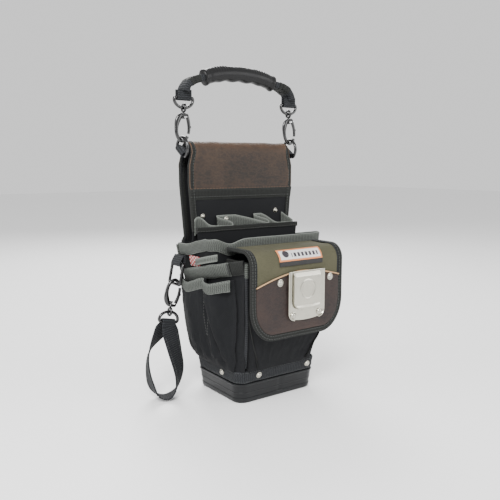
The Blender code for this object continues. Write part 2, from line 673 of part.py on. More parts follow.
def unite(target, others):
    """Joins helper solids to the target, bakes the result into its mesh and removes the helpers."""
    for other in others:
        modifier = target.modifiers.new("join", "BOOLEAN")
        modifier.operation, modifier.object = "UNION", other
    bpy.context.view_layer.update()
    graph = bpy.context.evaluated_depsgraph_get()
    mesh = bpy.data.meshes.new_from_object(target.evaluated_get(graph))
    target.modifiers.clear()
    target.data = mesh
    mesh.name = target.name
    for other in others:
        bpy.data.objects.remove(other, do_unlink=True)


def swivel_hook(prefix, mouth, up, wide, on):
    """A swivel snap hook. mouth is the middle of the wire it holds, up runs from there to the
    swivel and wide is sideways in the hook's plane. on gives the bodies of its three pieces."""
    up, wide, mouth = np.array(up, float), np.array(wide, float), np.array(mouth, float)
    thick = np.cross(wide, up)
    black = "black_metal"

    def place(points):
        return np.array([mouth + w * wide + h * up for w, h in points])
    spine = place(spline(HOOK_PATH, 15))
    shapes = [wire(1.8), wire(2.1)] + [wire(2.3)] * (len(spine) - 2)
    sides = planar_sides(spine, thick)
    hook = sweep(prefix + "_hook_body", black, spine, sides, thick, shapes, on=on["hook"])
    ring = [(1.8, 26.4), (3.7, 26.4), (3.3, 30.0), (1.8, 30.0)]
    collar = turned("collar", black, mouth, up, ring, on["hook"])
    lug_line = place([(2.4, 28.3), (6.6, 28.4)])
    lug = sweep("lug", black, lug_line, up, thick, wire(1.7), on=on["hook"])
    unite(hook, [collar, lug])
    gate = place(spline(GATE_PATH, 6))
    sides = planar_sides(gate, thick)
    sweep(prefix + "_hook_gate", black, gate, sides, thick, wire(1.9), on=on["gate"])
    middle = place([(0, EYE_UP)])[0]
    loop = [middle + EYE_R * (math.cos(a) * thick + math.sin(a) * up)
            for a in np.linspace(0, 2 * math.pi, 12, endpoint=False)]
    sides = planar_sides(loop, wide, True)
    eye = sweep(prefix + "_hook_eye", black, loop, sides, wide, wire(EYE_WIRE), True, on=on["eye"])
    pin = [(0, 22.6), (2.3, 22.6), (2.3, 24.6), (1.3, 24.6), (1.3, 31.6), (0, 31.6)]
    unite(eye, [turned("stem", black, mouth, up, pin, on["eye"])])


def handle():
    slope, fall = math.cos(RING_TILT), math.sin(RING_TILT)
    bar = np.array((0, -slope, -fall))
    out = np.array((0, -fall, slope))
    body("left_swing", (0, RING_Y, RING_Z))
    body("right_swing", (0, RING_Y, RING_Z))
    ring_wire_z = RING_Z + RING_R
    for side, sign in (("left", -1), ("right", 1)):
        centre = np.array((sign * RING_X, RING_Y, RING_Z))
        bar_middle = centre - RING_LEG * out
        body(side + "_lower_ring", bar_middle)
        d_ring(side + "_lower_ring", centre, bar, out, on=side + "_lower_ring")
        # Tab: a fold of webbing round the ring's bar, running into the hood's open side
        run = [(-26, -1.3), (-9, -1.5)] + arc((0, 0), 3.6, -80, 80, 7) + [(-9, 1.5), (-26, 1.3)]
        line = np.array([bar_middle + sign * w * np.array((1.0, 0, 0)) + h * out for w, h in run])
        across = [13.0, 13.0] + [19.0] * 7 + [13.0, 13.0]
        sweep(side + "_ring_tab", "black_webbing", line, planar_sides(line, bar), bar,
              [box_section(1.8, wide) for wide in across])

        mouth = np.array((sign * RING_X, RING_Y, ring_wire_z))
        lean = math.radians(HOOK_LEAN)
        up = np.array((-sign * math.sin(lean), 0, math.cos(lean)))
        wide = np.array((math.cos(lean), 0, sign * math.sin(lean)))
        body(side + "_hook", mouth + up * SWIVEL_UP, side + "_swing")
        body(side + "_gate", mouth + wide * GATE_PIVOT[0] + up * GATE_PIVOT[1], side + "_hook")
        swivel_hook(side, mouth, up, wide,
                    {"hook": side + "_hook", "gate": side + "_gate", "eye": side + "_swing"})
        eye = mouth + up * EYE_UP
        arc_centre = eye + np.array((0, 0, UPPER_RING_DEEP))
        body(side + "_upper_ring", eye, side + "_swing")
        d_ring(side + "_upper_ring", arc_centre, (1.0, 0, 0), (0, 0, -1.0), UPPER_RING_DEEP, UPPER_RING_LEG,
               on=side + "_upper_ring")
        ring_top = arc_centre + np.array((0, 0, UPPER_RING_LEG))
    body("grip", (0, ring_top[1], ring_top[2]), "left_upper_ring")
    end_x, end_z = ring_top[0], ring_top[2]

    # Webbing: an arch whose ends fold round the upper rings' bars
    arch = [(end_x, end_z + 7.5), (end_x - 3, end_z + 15), (end_x - 12, end_z + 21.5),
            (end_x - 28, end_z + 26.5), (end_x - 52, end_z + 32.5), (0, GRIP_TOP - 10)]
    arch = [(-x, z) for x, z in arch] + [(x, z) for x, z in reversed(arch[:-1])]
    path = np.array([(x, RING_Y, z) for x, z in spline(arch, 23)])
    side_way = planar_sides(path, (0, 1, 0))
    far = np.abs(path[:, 0])
    widths = np.interp(far, (40, 60, 82), (11, 16, 24))
    webbing = sweep("handle_webbing", "black_webbing", path, side_way, (0, 1, 0),
                    [box_section(w, 8.0) for w in widths], on="grip")
    folds = []
    for sign in (-1, 1):
        run = [(-3.1, 9.5), (-3.1, 4)] + arc((0, 0), 3.2, 180, 360, 7) + [(3.1, 4), (3.1, 9.5)]
        line = np.array([(sign * end_x, RING_Y + y, end_z + z) for y, z in run])
        folds.append(sweep("fold", "black_webbing", line, planar_sides(line, (1, 0, 0)), (1, 0, 0),
                           box_section(1.7, 20.0), on="grip"))
    unite(webbing, folds)
    inside = [k for k in range(len(path)) if far[k] < 58]
    tube, out_way = path[inside], side_way[inside]
    n = len(tube)
    swell = [1.0 if k in (0, n - 1) else 0.86 if k in (1, n - 2) else 1.0 for k in range(n)]
    outer = [[p + s * (9.4 * math.cos(a) * o + 8.6 * math.sin(a) * np.array((0, 1, 0)))
              for a in np.linspace(0, 2 * math.pi, 10, endpoint=False)]
             for p, o, s in zip(tube, out_way, swell)]
    corners = ((1, 0), (1, 0.5), (1, 1), (-1, 1), (-1, 0.5), (-1, 0), (-1, -0.5), (-1, -1), (1, -1),
               (1, -0.5))
    inner = [[p + (w / 2 + 0.5) * cx * o + 4.7 * cy * np.array((0, 1, 0)) for cx, cy in corners]
             for p, o, w in zip(tube, out_way, widths[inside])]
    slab("handle_grip", "rubber", outer, inner, on="grip", closed=True, smooth=50)


def strap():
    lean = math.radians(STRAP_LEAN)
    down = np.array((-math.sin(lean), 0, -math.cos(lean)))
    wide = np.array((math.cos(lean), 0, -math.sin(lean)))
    across = np.array((0, 1.0, 0))
    top = np.array(STRAP_TOP)
    # Tab: webbing sewn under the rim, folded round the ring's bar
    run = [(5.0, 10.2), (4.0, 3.0)] + arc((0, 0), 3.6, 0, -180, 7) + [(-1.2, 5.0), (2.4, 10.2)]
    line = np.array([top + np.array((x, 0, z)) for x, z in run])
    sweep("strap_tab", "black_webbing", line, planar_sides(line, across), across, box_section(1.5, 23.0))
    body("strap_ring", top)
    length, half = 27.0, 14.0
    shape = rounded_rect(half, length / 2, 3.0, 0, 3)
    path = np.array([top + x * across + (length / 2 - y) * down for x, y, _ in shape])
    sweep("strap_upper_ring", "black_metal", path, planar_sides(path, wide, True), wide, wire(RING_WIRE),
          True, on="strap_ring")
    mouth = top + down * length
    deep = UPPER_RING_DEEP
    body("strap_hook", mouth, "strap_ring")
    body("strap_gate", mouth + wide * GATE_PIVOT[0] + down * GATE_PIVOT[1], "strap_hook")
    body("strap_eye", mouth + down * SWIVEL_UP, "strap_hook")
    swivel_hook("strap", mouth, down, wide,
                {"hook": "strap_hook", "gate": "strap_gate", "eye": "strap_eye"})
    eye = mouth + down * EYE_UP
    arc_centre = eye + down * deep
    body("strap_lower_ring", eye, "strap_eye")
    d_ring("strap_lower_ring", arc_centre, wide, -down, deep, UPPER_RING_LEG, on="strap_lower_ring")
    bar = arc_centre + down * UPPER_RING_LEG
    body("strap_loop", bar, "strap_lower_ring")

    # Webbing loop: over the bar, down the near strand, round the bottom and up the far strand
    x, y, z = bar
    reach = 3.2
    over = [bar + c * across - s * down for c, s in arc((0, 0), reach, 0, 180, 7)]
    route = [(x - 0.5, y - reach - 0.2, z - 5), (x + 0.8, y - reach - 0.6, z - 12), (x + 6, y - 6, 62),
             (x + 10, y - 9, 34), (x + 5, y - 9, 12), (x - 8, y - 5, 2.6), (x - 22, y, 12),
             (x - 28, y + 3, 38), (x - 25, y + 4.5, 64), (x - 9, y + reach + 1.6, z - 13),
             (x - 1.5, y + reach + 0.2, z - 5)]
    path = np.array(over + list(spline(route, 29)))
    twist = np.interp(np.linspace(0, 1, 29), (0, 0.25, 0.48, 0.6, 0.82, 1), (0, 25, 75, 90, 60, 0))
    turn = np.concatenate([np.zeros(7), np.radians(twist)])
    along = np.roll(path, -1, axis=0) - np.roll(path, 1, axis=0)
    along /= np.linalg.norm(along, axis=1)[:, None]
    flat = np.cos(turn)[:, None] * wide + np.sin(turn)[:, None] * across
    flat -= along * np.sum(flat * along, axis=1)[:, None]
    flat /= np.linalg.norm(flat, axis=1)[:, None]
    far = np.linalg.norm(path - bar, axis=1)
    sections = [box_section(w, 1.7) for w in np.interp(far, (4, 14), (19.0, 24.0))]
    sweep("strap_webbing", "black_webbing", path, flat, np.cross(along, flat), sections, True,
          on="strap_loop")


def build():
    clear_scene()
    base()
    main_pocket()
    hood()
    front_pocket()
    flap()
    side_pockets()
    handle()
    strap()


build()
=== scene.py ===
"""Looks of the electrician's tool pouch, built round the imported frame. Lengths in this file are in
millimetres until a mesh is made, where MM turns them into metres."""
import math

import bpy
import numpy as np
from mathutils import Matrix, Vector, noise


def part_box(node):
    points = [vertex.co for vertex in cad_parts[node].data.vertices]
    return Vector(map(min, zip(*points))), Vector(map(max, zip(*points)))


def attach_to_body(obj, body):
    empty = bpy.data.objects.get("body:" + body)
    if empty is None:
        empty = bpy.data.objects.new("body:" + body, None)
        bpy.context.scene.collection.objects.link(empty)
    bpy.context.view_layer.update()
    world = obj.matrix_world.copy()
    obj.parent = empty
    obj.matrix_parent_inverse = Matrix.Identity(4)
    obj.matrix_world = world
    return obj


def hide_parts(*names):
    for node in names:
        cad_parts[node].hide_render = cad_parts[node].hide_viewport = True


MM = 0.001
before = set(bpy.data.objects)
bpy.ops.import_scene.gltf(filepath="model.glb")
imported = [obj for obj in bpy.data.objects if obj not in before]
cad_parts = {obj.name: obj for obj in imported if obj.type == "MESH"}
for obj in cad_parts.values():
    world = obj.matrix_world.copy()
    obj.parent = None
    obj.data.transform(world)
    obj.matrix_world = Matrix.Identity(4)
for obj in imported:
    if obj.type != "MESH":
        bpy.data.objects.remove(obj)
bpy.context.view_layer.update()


def node_box(node):
    """(lowest, highest) corner of a CAD node in millimetres."""
    low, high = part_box(node)
    return np.array(low) / MM, np.array(high) / MM


# Dimensions read from the frame
TRAY_HIGH = node_box("base_tray")[1]
BAND_LOW, BAND_HIGH = (corner[2] for corner in node_box("base_band"))
HOOD_BOX = node_box("front_panel")
LEATHER_BOX = node_box("leather_hood")
BACK_BOX = node_box("back_panel")
DIVIDER_BOX = node_box("divider_panel")
FLAP_BOX = node_box("flap_panel")
CLIP_BOX = node_box("clip_plate")
TONGUE_BOX = node_box("clip_tongue")
LABEL_BOX = node_box("label_patch")
BELT_BOX = node_box("belt_loop")
LABEL_LEFT, LABEL_RIGHT = LABEL_BOX[0][0] + 5.0, LABEL_BOX[1][0] - 6.0

# Driving dimensions that the frame's boxes don't give
BASE_HEIGHT = TRAY_HIGH[2]
BASE_FLARE = 3.0
BASE_X, BASE_Y = TRAY_HIGH[0] - BASE_FLARE, TRAY_HIGH[1] - BASE_FLARE
BASE_CORNER = 14.0
TRAY_WALL = 3.0
POCKET_CORNER = 11.0
BELLY = 8.0  # how far the full side pockets hang out past the walls
WALL = 2.4
RIM_TOP = 206.0
WEBBING = 1.6
GAP = 0.3
HOOD_FRONT = HOOD_BOX[0][1]
HOOD_TURN_Z = 316.0
HOOD_HALF, HOOD_TOP_HALF = HOOD_BOX[1][0], 80.0
DIVIDER_Y = DIVIDER_BOX[0][1]
FLAP_HALF, FLAP_LOW = FLAP_BOX[1][0], FLAP_BOX[0][2]
FLAP_FRONT, FLAP_TOP, FLAP_BEND = FLAP_BOX[0][1], FLAP_BOX[1][2], 18.0
FLAP_CORNER = (34.0, 42.0)


# Curves and grids

def unit(v):
    v = np.asarray(v, float)
    return v / np.maximum(np.linalg.norm(v, axis=-1, keepdims=True), 1e-9)


def blend(a, b, t):
    return a + (b - a) * min(max(t, 0.0), 1.0)


def spline(points, count, closed=False):
    """Evenly spaced points along a smooth curve through the given ones."""
    p = np.array(points, float)
    n = len(p)
    fine = []
    for i in range(n if closed else n - 1):
        if closed:
            a, b, c, d = (p[(i + k) % n] for k in (-1, 0, 1, 2))
        else:
            a, b, c, d = (p[min(max(i + k, 0), n - 1)] for k in (-1, 0, 1, 2))
        for t in np.linspace(0, 1, 24, endpoint=False):
            fine.append(0.5 * (2 * b + (c - a) * t + (2 * a - 5 * b + 4 * c - d) * t * t
                               + (3 * b - a - 3 * c + d) * t ** 3))
    fine.append(p[0] if closed else p[-1])
    fine = np.array(fine)
    run = lengths(fine)
    at = np.linspace(0, run[-1], count + 1)[:-1] if closed else np.linspace(0, run[-1], count)
    return np.stack([np.interp(at, run, fine[:, k]) for k in range(fine.shape[1])], axis=1)


def lengths(path):
    """Distance from the start of a path to each of its points."""
    return np.concatenate([[0], np.cumsum(np.linalg.norm(np.diff(path, axis=0), axis=1))])


def resample(path, count):
    """A path of straight runs, cut into even steps."""
    path = np.array(path, float)
    run = lengths(path)
    at = np.linspace(0, run[-1], count)
    return np.stack([np.interp(at, run, path[:, k]) for k in range(path.shape[1])], axis=1)


def arc(centre, radius, start, end, count):
    a = np.radians(np.linspace(start, end, count))
    return [(centre[0] + radius * math.cos(t), centre[1] + radius * math.sin(t)) for t in a]


def wobble(points, size, seed):
    """Smooth noise from -1 to 1 at each point. size is the width of its lumps along X, Y and Z."""
    offset = Vector((seed * 17.3, seed * 5.1, seed * 9.7))
    flat = np.reshape(points, (-1, 3)) / np.array(size, float)
    values = [noise.fractal(Vector(p) + offset, 0.9, 2.1, 3) for p in flat]
    return np.array(values).reshape(np.shape(points)[:-1])


def plan_sides(row, closed=False):
    """Sideways unit normals of rows of points, to the right of the way that they run."""
    row = np.array(row, float)
    along = np.roll(row, -1, axis=-2) - np.roll(row, 1, axis=-2) if closed else np.gradient(row, axis=-2)
    return unit(np.stack([along[..., 1], -along[..., 0], np.zeros(along.shape[:-1])], axis=-1))


def path_sides(path, normal, closed=False):
    """Sideways directions of a path that lies in a plane with that normal."""
    path = np.array(path, float)
    along = np.roll(path, -1, axis=0) - np.roll(path, 1, axis=0) if closed else np.gradient(path, axis=0)
    return unit(np.cross(along, normal))


def rounded_box(half_x, front, back, radius, per_corner=10, per_side=24):
    """Plan of a box with rounded corners, anticlockwise from the middle of its back edge."""
    left = [(x, back) for x in np.linspace(0, -half_x + radius, per_side // 2, endpoint=False)]
    left += arc((-half_x + radius, back - radius), radius, 90, 180, per_corner)
    left += [(-half_x, y) for y in np.linspace(back - radius, front + radius, per_side)[1:-1]]
    left += arc((-half_x + radius, front + radius), radius, 180, 270, per_corner)
    left += [(x, front) for x in np.linspace(-half_x + radius, 0, per_side // 2)[1:]]
    right = [(-x, y) for x, y in reversed(left[1:-1])]
    return np.array(left + right)


# Pieces

def attach(piece, body, replaced=()):
    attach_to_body(piece, body)
    if replaced:
        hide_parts(*replaced)
    return piece


def make(name, verts, faces, uvs, look, body="bag", slot=None, replaced=(), edge=None, angle=40):
    """A piece from points in millimetres. uvs holds one pair in millimetres for each face corner, and
    edge, where given, is how close each point is to an edge, from 0 to 1. The ribbed and hide looks paint
    that edge paler, partly for abrasion and partly as a painted highlight."""
    mesh = bpy.data.meshes.new(name)
    mesh.from_pydata([tuple(v) for v in np.asarray(verts, float) * MM], [], [tuple(f) for f in faces])
    layer = mesh.uv_layers.new(name="UVMap")
    layer.data.foreach_set("uv", np.asarray(uvs, np.float32).ravel())
    if edge is not None:
        wear_and_shine = mesh.attributes.new("edge", "FLOAT", "POINT").data
        wear_and_shine.foreach_set("value", np.asarray(edge, np.float32).ravel())
    mesh.shade_smooth()
    mesh.set_sharp_from_angle(angle=math.radians(angle))
    mesh.materials.append(look)
    piece = bpy.data.objects.new(name, mesh)
    bpy.context.scene.collection.objects.link(piece)
    return attach(piece, body, replaced)


def grid_faces(rows, cols, closed, flip=False):
    """Faces of a grid of points, and each corner's row and column, where the last column is cols."""
    faces, corners = [], []
    for r in range(rows - 1):
        for c in range(cols if closed else cols - 1):
            quad = [(r, c), (r, c + 1), (r + 1, c + 1), (r + 1, c)]
            if flip:
                quad.reverse()
            faces.append([i * cols + j % cols for i, j in quad])
            corners += quad
    return faces, corners


def grid_uv(grid, closed):
    """Distances along the middle row and the middle column of a grid."""
    middle = grid[len(grid) // 2]
    row = np.concatenate([middle, middle[:1]]) if closed else middle
    return lengths(row), lengths(grid[:, grid.shape[1] // 2])


def cloth(name, grid, thick, look, body="bag", replaced=(), closed=False, flip=False, round_by=0.4, angle=40,
          wear_and_highlight=None):
    """A sheet of cloth or leather with a real thickness. grid is its outer face, rows by columns, and flip
    says that the face looks the other way. Its cut edges are rounded."""
    grid = np.array(grid, float)
    rows, cols = grid.shape[:2]
    faces, corners = grid_faces(rows, cols, closed, flip)
    u, v = grid_uv(grid, closed)
    uvs = [(u[c], v[r]) for r, c in corners]
    across = np.minimum(v, v[-1] - v)[:, None] + np.zeros(cols)
    # By default the last 6 mm towards the cut edges grow paler: partly abrasion, partly a painted highlight
    if wear_and_highlight is None:
        wear_and_highlight = np.clip(1 - across / 6.0, 0, 1)
    piece = make(name, grid.reshape(-1, 3), faces, uvs, look, body, None, replaced, wear_and_highlight, angle)
    solid = piece.modifiers.new("thickness", "SOLIDIFY")
    solid.thickness = thick * MM
    solid.offset = -1.0
    bevel = piece.modifiers.new("soft edge", "BEVEL")
    bevel.width = thick * round_by * MM
    bevel.segments = 2
    bevel.limit_method = "ANGLE"
    bevel.angle_limit = math.radians(55)
    return piece


def sweep(name, path, side, up, section, look, body="bag", replaced=(), closed=False):
    """A section moved along a path. side and up are the directions of a section point's two numbers."""
    path = np.array(path, float)
    side = np.broadcast_to(np.array(side, float), path.shape)
    up = np.broadcast_to(np.array(up, float), path.shape)
    shapes = np.array(section, float)
    if shapes.ndim == 2:
        shapes = np.broadcast_to(shapes, (len(path), *shapes.shape))
    grid = path[:, None] + shapes[..., :1] * side[:, None] + shapes[..., 1:] * up[:, None]
    n, m = grid.shape[:2]
    rows = n + 1 if closed else n
    along = lengths(np.concatenate([path, path[:1]]) if closed else path)
    first = shapes[n // 2]
    around = lengths(np.concatenate([first, first[:1]]))
    faces, uvs = [], []
    for r in range(rows - 1):
        for c in range(m):
            quad = [(r, c), (r, c + 1), (r + 1, c + 1), (r + 1, c)]
            faces.append([(i % n) * m + j % m for i, j in quad])
            uvs += [(along[i], around[j]) for i, j in quad]
    if not closed:
        for start, order in ((0, range(m - 1, -1, -1)), ((n - 1) * m, range(m))):
            faces.append([start + k for k in order])
            uvs += [(first[k][0], first[k][1]) for k in order]
    solid = outward(grid.reshape(-1, 3), faces, uvs)
    return make(name, grid.reshape(-1, 3), *solid, look, body, None, replaced, None, 50)


def outward(points, faces, uvs):
    """The faces and their corners, turned round if the solid they make is inside out."""
    volume = 0.0
    for face in faces:
        first = points[face[0]]
        for a, b in zip(face[1:-1], face[2:]):
            volume += np.dot(first, np.cross(points[a], points[b]))
    if volume >= 0:
        return faces, uvs
    turned, at = [], 0
    for face in faces:
        turned += uvs[at:at + len(face)][::-1]
        at += len(face)
    return [face[::-1] for face in faces], turned


def round_section(radius, sides=14, flat=1.0):
    return [(radius * math.cos(2 * math.pi * k / sides), radius * flat * math.sin(2 * math.pi * k / sides))
            for k in range(sides)]


def strip_section(wide, thick, crown=0.0):
    """Section of webbing: wide along up and thick along side, with round edges and a crown each way."""
    half, r = wide / 2, thick / 2
    shape = [(r + crown * (1 - (y / half) ** 2), y) for y in np.linspace(-half + r, half - r, 7)]
    shape += [(r * math.cos(a), half - r + r * math.sin(a)) for a in np.radians((30, 60, 90, 120, 150))]
    shape += [(-x, y) for x, y in reversed(shape[:7])]
    shape += [(-r * math.cos(a), -half + r - r * math.sin(a)) for a in np.radians((30, 60, 90, 120, 150))]
    return shape


def turned(name, foot, axis, profile, look, body, replaced=(), sides=28, angle=40):
    """A body of revolution about axis through foot. profile is a list of (radius, height), foot first."""
    axis = unit(axis)
    helper = (0, 0, 1.0) if abs(axis[2]) < 0.8 else (1.0, 0, 0)
    a = unit(np.cross(axis, helper))
    b = np.cross(axis, a)
    ring = [a * math.cos(t) + b * math.sin(t) for t in np.linspace(0, 2 * math.pi, sides, endpoint=False)]
    grid = np.array([[np.array(foot) + max(r, 0.02) * p + h * axis for p in ring] for r, h in profile])
    faces, corners = grid_faces(len(profile), sides, True)
    uvs = [(c, r) for r, c in corners]
    for start, order in ((0, range(sides - 1, -1, -1)), ((len(profile) - 1) * sides, range(sides))):
        faces.append([start + k for k in order])
        uvs += [(0, 0)] * sides
    points = grid.reshape(-1, 3)
    return make(name, points, *outward(points, faces, uvs), look, body, None, replaced, None, angle)


def stitches(name, path, outwards, look, body="bag", stitch=2.6, space=1.3, thick=0.32):
    """A row of thread stitches that lie on a surface along a path."""
    path = np.array(path, float)
    outwards = np.broadcast_to(np.array(outwards, float), path.shape)
    run = lengths(path)
    verts, faces, uvs = [], [], []
    for start in np.arange(0.6, run[-1] - stitch, stitch + space):
        at = start + stitch * np.array((0, 0.2, 0.8, 1))
        p = np.stack([np.interp(at, run, path[:, k]) for k in range(3)], axis=1)
        out = unit(np.stack([np.interp(at, run, outwards[:, k]) for k in range(3)], axis=1))
        side = unit(np.cross(np.gradient(p, axis=0), out))
        base = len(verts)
        for k, (rise, size) in enumerate(((-0.3, 0.5), (0.15, 1.0), (0.15, 1.0), (-0.3, 0.5))):
            for a in np.radians((0, 60, 120, 180, 240, 300)):
                swing = side[k] * thick * size * math.cos(a)
                verts.append(p[k] + out[k] * thick * (rise + size * math.sin(a)) + swing)
        for k in range(3):
            for j in range(6):
                n = (j + 1) % 6
                faces.append([base + k * 6 + j, base + k * 6 + n, base + k * 6 + 6 + n, base + k * 6 + 6 + j])
        faces += [[base + j for j in range(5, -1, -1)], [base + 18 + j for j in range(6)]]
    uvs = [(0, 0)] * sum(len(face) for face in faces)
    return make(name, verts, faces, uvs, look, body)


# Looks

CLOTH_SHEEN = 0.02


class Look:
    """Builds one node material. Every pattern runs on UVs in millimetres."""

    def __init__(self, name, slot, colour, roughness, metallic=0.0, sheen=0.0, coat=0.0, specular=0.5):
        self.material = bpy.data.materials.new(name)
        self.material.use_nodes = True
        self.material["slot"] = slot
        self.tree = self.material.node_tree
        self.shader = self.tree.nodes["Principled BSDF"]
        self.shader.inputs["Base Color"].default_value = (*colour, 1)
        self.shader.inputs["Roughness"].default_value = roughness
        self.shader.inputs["Metallic"].default_value = metallic
        self.shader.inputs["Sheen Weight"].default_value = sheen
        self.shader.inputs["Sheen Roughness"].default_value = 0.45
        self.shader.inputs["Specular IOR Level"].default_value = specular
        self.shader.inputs["Coat Weight"].default_value = coat
        self.shader.inputs["Coat Roughness"].default_value = 0.12
        uv = self.node("ShaderNodeUVMap")
        split = self.node("ShaderNodeSeparateXYZ")
        self.join(uv.outputs[0], split.inputs[0])
        self.uv, self.u, self.v = uv.outputs[0], split.outputs[0], split.outputs[1]
        self.place = self.node("ShaderNodeTexCoord").outputs["Object"]

    def node(self, kind, **settings):
        made = self.tree.nodes.new(kind)
        for key, value in settings.items():
            setattr(made, key, value)
        return made

    def join(self, start, end):
        self.tree.links.new(start, end)

    def math(self, operation, a, b=0.0, c=0.0):
        made = self.node("ShaderNodeMath", operation=operation)
        for socket, value in zip(made.inputs, (a, b, c)):
            if isinstance(value, (int, float)):
                socket.default_value = value
            else:
                self.join(value, socket)
        return made.outputs[0]

    def wave(self, value, pitch):
        """Sine of a length, with that pitch in millimetres."""
        return self.math("SINE", self.math("MULTIPLY", value, 2 * math.pi / pitch))

    def noise(self, scale, detail=3.0, on_surface=False, rough=0.55, stretch=None):
        """Noise from 0 to 1. scale is per metre of the object, or per millimetre of the surface."""
        made = self.node("ShaderNodeTexNoise")
        made.inputs["Scale"].default_value = scale
        made.inputs["Detail"].default_value = detail
        made.inputs["Roughness"].default_value = rough
        source = self.uv if on_surface else self.place
        if stretch:
            mapping = self.node("ShaderNodeMapping")
            mapping.inputs["Scale"].default_value = stretch
            self.join(source, mapping.inputs[0])
            source = mapping.outputs[0]
        self.join(source, made.inputs["Vector"])
        return made.outputs[0]

    def ramp(self, value, stops):
        """Colours between stops of (place, (r, g, b))."""
        made = self.node("ShaderNodeValToRGB")
        ramp = made.color_ramp
        while len(ramp.elements) < len(stops):
            ramp.elements.new(0.5)
        for element, (place, colour) in zip(ramp.elements, stops):
            element.position = place
            element.color = (*colour, 1)
        self.join(value, made.inputs[0])
        return made.outputs[0]

    def mix(self, a, b, factor, mode="MIX"):
        """Colour a turning to colour b by a factor."""
        made = self.node("ShaderNodeMix", data_type="RGBA", blend_type=mode)
        for socket, value in ((made.inputs[6], a), (made.inputs[7], b), (made.inputs[0], factor)):
            if isinstance(value, (int, float)):
                socket.default_value = value
            elif isinstance(value, tuple):
                socket.default_value = (*value, 1)
            else:
                self.join(value, socket)
        return made.outputs[2]

    def edge(self):
        return self.node("ShaderNodeAttribute", attribute_name="edge").outputs["Fac"]

    def colour(self, value):
        self.join(value, self.shader.inputs["Base Color"])

    def roughness(self, value, low, high):
        spread = self.node("ShaderNodeMapRange")
        spread.inputs["To Min"].default_value = low
        spread.inputs["To Max"].default_value = high
        self.join(value, spread.inputs[0])
        self.join(spread.outputs[0], self.shader.inputs["Roughness"])

    def bump(self, height, depth, strength=1.0):
        """Surface relief: height from 0 to 1 stands for depth in millimetres."""
        made = self.node("ShaderNodeBump")
        made.inputs["Strength"].default_value = strength
        made.inputs["Distance"].default_value = depth * MM
        self.join(height, made.inputs["Height"])
        self.join(made.outputs[0], self.shader.inputs["Normal"])


def scaled(colour, by):
    return tuple(min(c * by, 1.0) for c in colour)


def woven(name, slot, colour, light, pitch, lint=0.35):
    """Basket weave of that pitch, with slubs, a little lint and slow changes of tone."""
    look = Look(name, slot, colour, 0.8, sheen=CLOTH_SHEEN, specular=0.12)
    weave = look.math("MULTIPLY", look.wave(look.u, pitch), look.wave(look.v, pitch))
    weave = look.math("MULTIPLY_ADD", weave, 0.5, 0.5)
    slub = look.noise(0.9, 2.0, True, stretch=(0.25, 1.6, 1))
    height = look.math("MULTIPLY_ADD", slub, 0.6, weave)
    tone = look.noise(38, 4.0)
    threads = look.mix(scaled(colour, 0.55), light, look.math("MULTIPLY", height, 0.62))
    patches = look.math("MULTIPLY", look.math("POWER", tone, 3.0), lint)
    look.colour(look.mix(threads, scaled(light, 1.25), patches))
    look.roughness(tone, 0.68, 0.92)
    look.bump(height, 0.22, 0.8)
    return look.material


def ribbed(name, slot, colour, light, pitch, depth=0.3, wear_and_highlight=0.6):
    """Webbing: ribs across its length, broken into short chevrons. The rib crests have a painted highlight
    and the grooves painted shade. Its edges are paler, partly abrasion and partly a painted highlight.
    """
    look = Look(name, slot, colour, 0.75, sheen=CLOTH_SHEEN, specular=0.15)
    lean = look.math("MULTIPLY", look.math("PINGPONG", look.v, 2.2), 0.35)
    ribs = look.math("MULTIPLY_ADD", look.wave(look.math("ADD", look.u, lean), pitch), 0.5, 0.5)
    rows = look.math("MULTIPLY_ADD", look.wave(look.v, 1.8), 0.5, 0.5)
    height = look.math("MULTIPLY_ADD", rows, 0.5, look.math("MULTIPLY", ribs, ribs))
    fuzz = look.noise(0.8, 3.0, True)
    tone = look.noise(45, 3.0)
    # Rib crests painted towards the light colour, grooves darker: a painted highlight and painted shade
    threads = look.mix(scaled(colour, 0.6), light, look.math("MULTIPLY", height, 0.62))
    lint = look.math("MULTIPLY", look.math("MULTIPLY", fuzz, tone), 0.4)
    tinted = look.mix(threads, scaled(light, 1.2), lint)
    # Paler edges: partly abrasion and partly a painted highlight on the webbing's rounded edges
    paled = look.math("MULTIPLY", look.math("POWER", look.edge(), 2.5), wear_and_highlight)
    look.colour(look.mix(tinted, scaled(light, 1.45), paled))
    look.roughness(fuzz, 0.6, 0.9)
    look.bump(height, depth, 0.9)
    return look.material


def hide(name, slot, dark, mid, light, wear_and_shine, scuff=0.6, rub_and_shine=1.4):
    """Oiled leather: pull-up clouds, fine grain, scratches, and a paler edge
    that is partly abrasion and partly a painted highlight.
    """
    look = Look(name, slot, mid, 0.5, specular=0.3)
    clouds = look.noise(17, 8.0, rough=0.62)
    base = look.ramp(clouds, ((0.30, dark), (0.47, mid), (0.62, light), (0.78, wear_and_shine)))
    grain = look.node("ShaderNodeTexVoronoi", feature="DISTANCE_TO_EDGE")
    grain.inputs["Scale"].default_value = 1.1
    look.join(look.uv, grain.inputs["Vector"])
    pebble = look.math("MULTIPLY", grain.outputs[0], 2.4)
    marks = look.noise(0.09, 6.0, True, stretch=(1.0, 1.7, 1), rough=0.7)
    scratch = look.math("POWER", look.math("SUBTRACT", 1.0, look.math("ABSOLUTE",
                        look.math("MULTIPLY_ADD", marks, 2.0, -1.0))), 14.0)
    paled = look.mix(base, wear_and_shine, look.math("MULTIPLY", scratch, scuff * 0.5))
    # Paler edge: partly abrasion and partly a painted highlight on the leather's turned edges
    edge = look.math("MULTIPLY", look.math("POWER", look.edge(), 1.6), look.noise(120, 3.0))
    look.colour(look.mix(paled, scaled(wear_and_shine, 1.3), look.math("MULTIPLY", edge, rub_and_shine)))
    look.roughness(clouds, 0.42, 0.72)
    look.bump(look.math("MULTIPLY_ADD", scratch, -0.6, pebble), 0.16, 0.7)
    return look.material


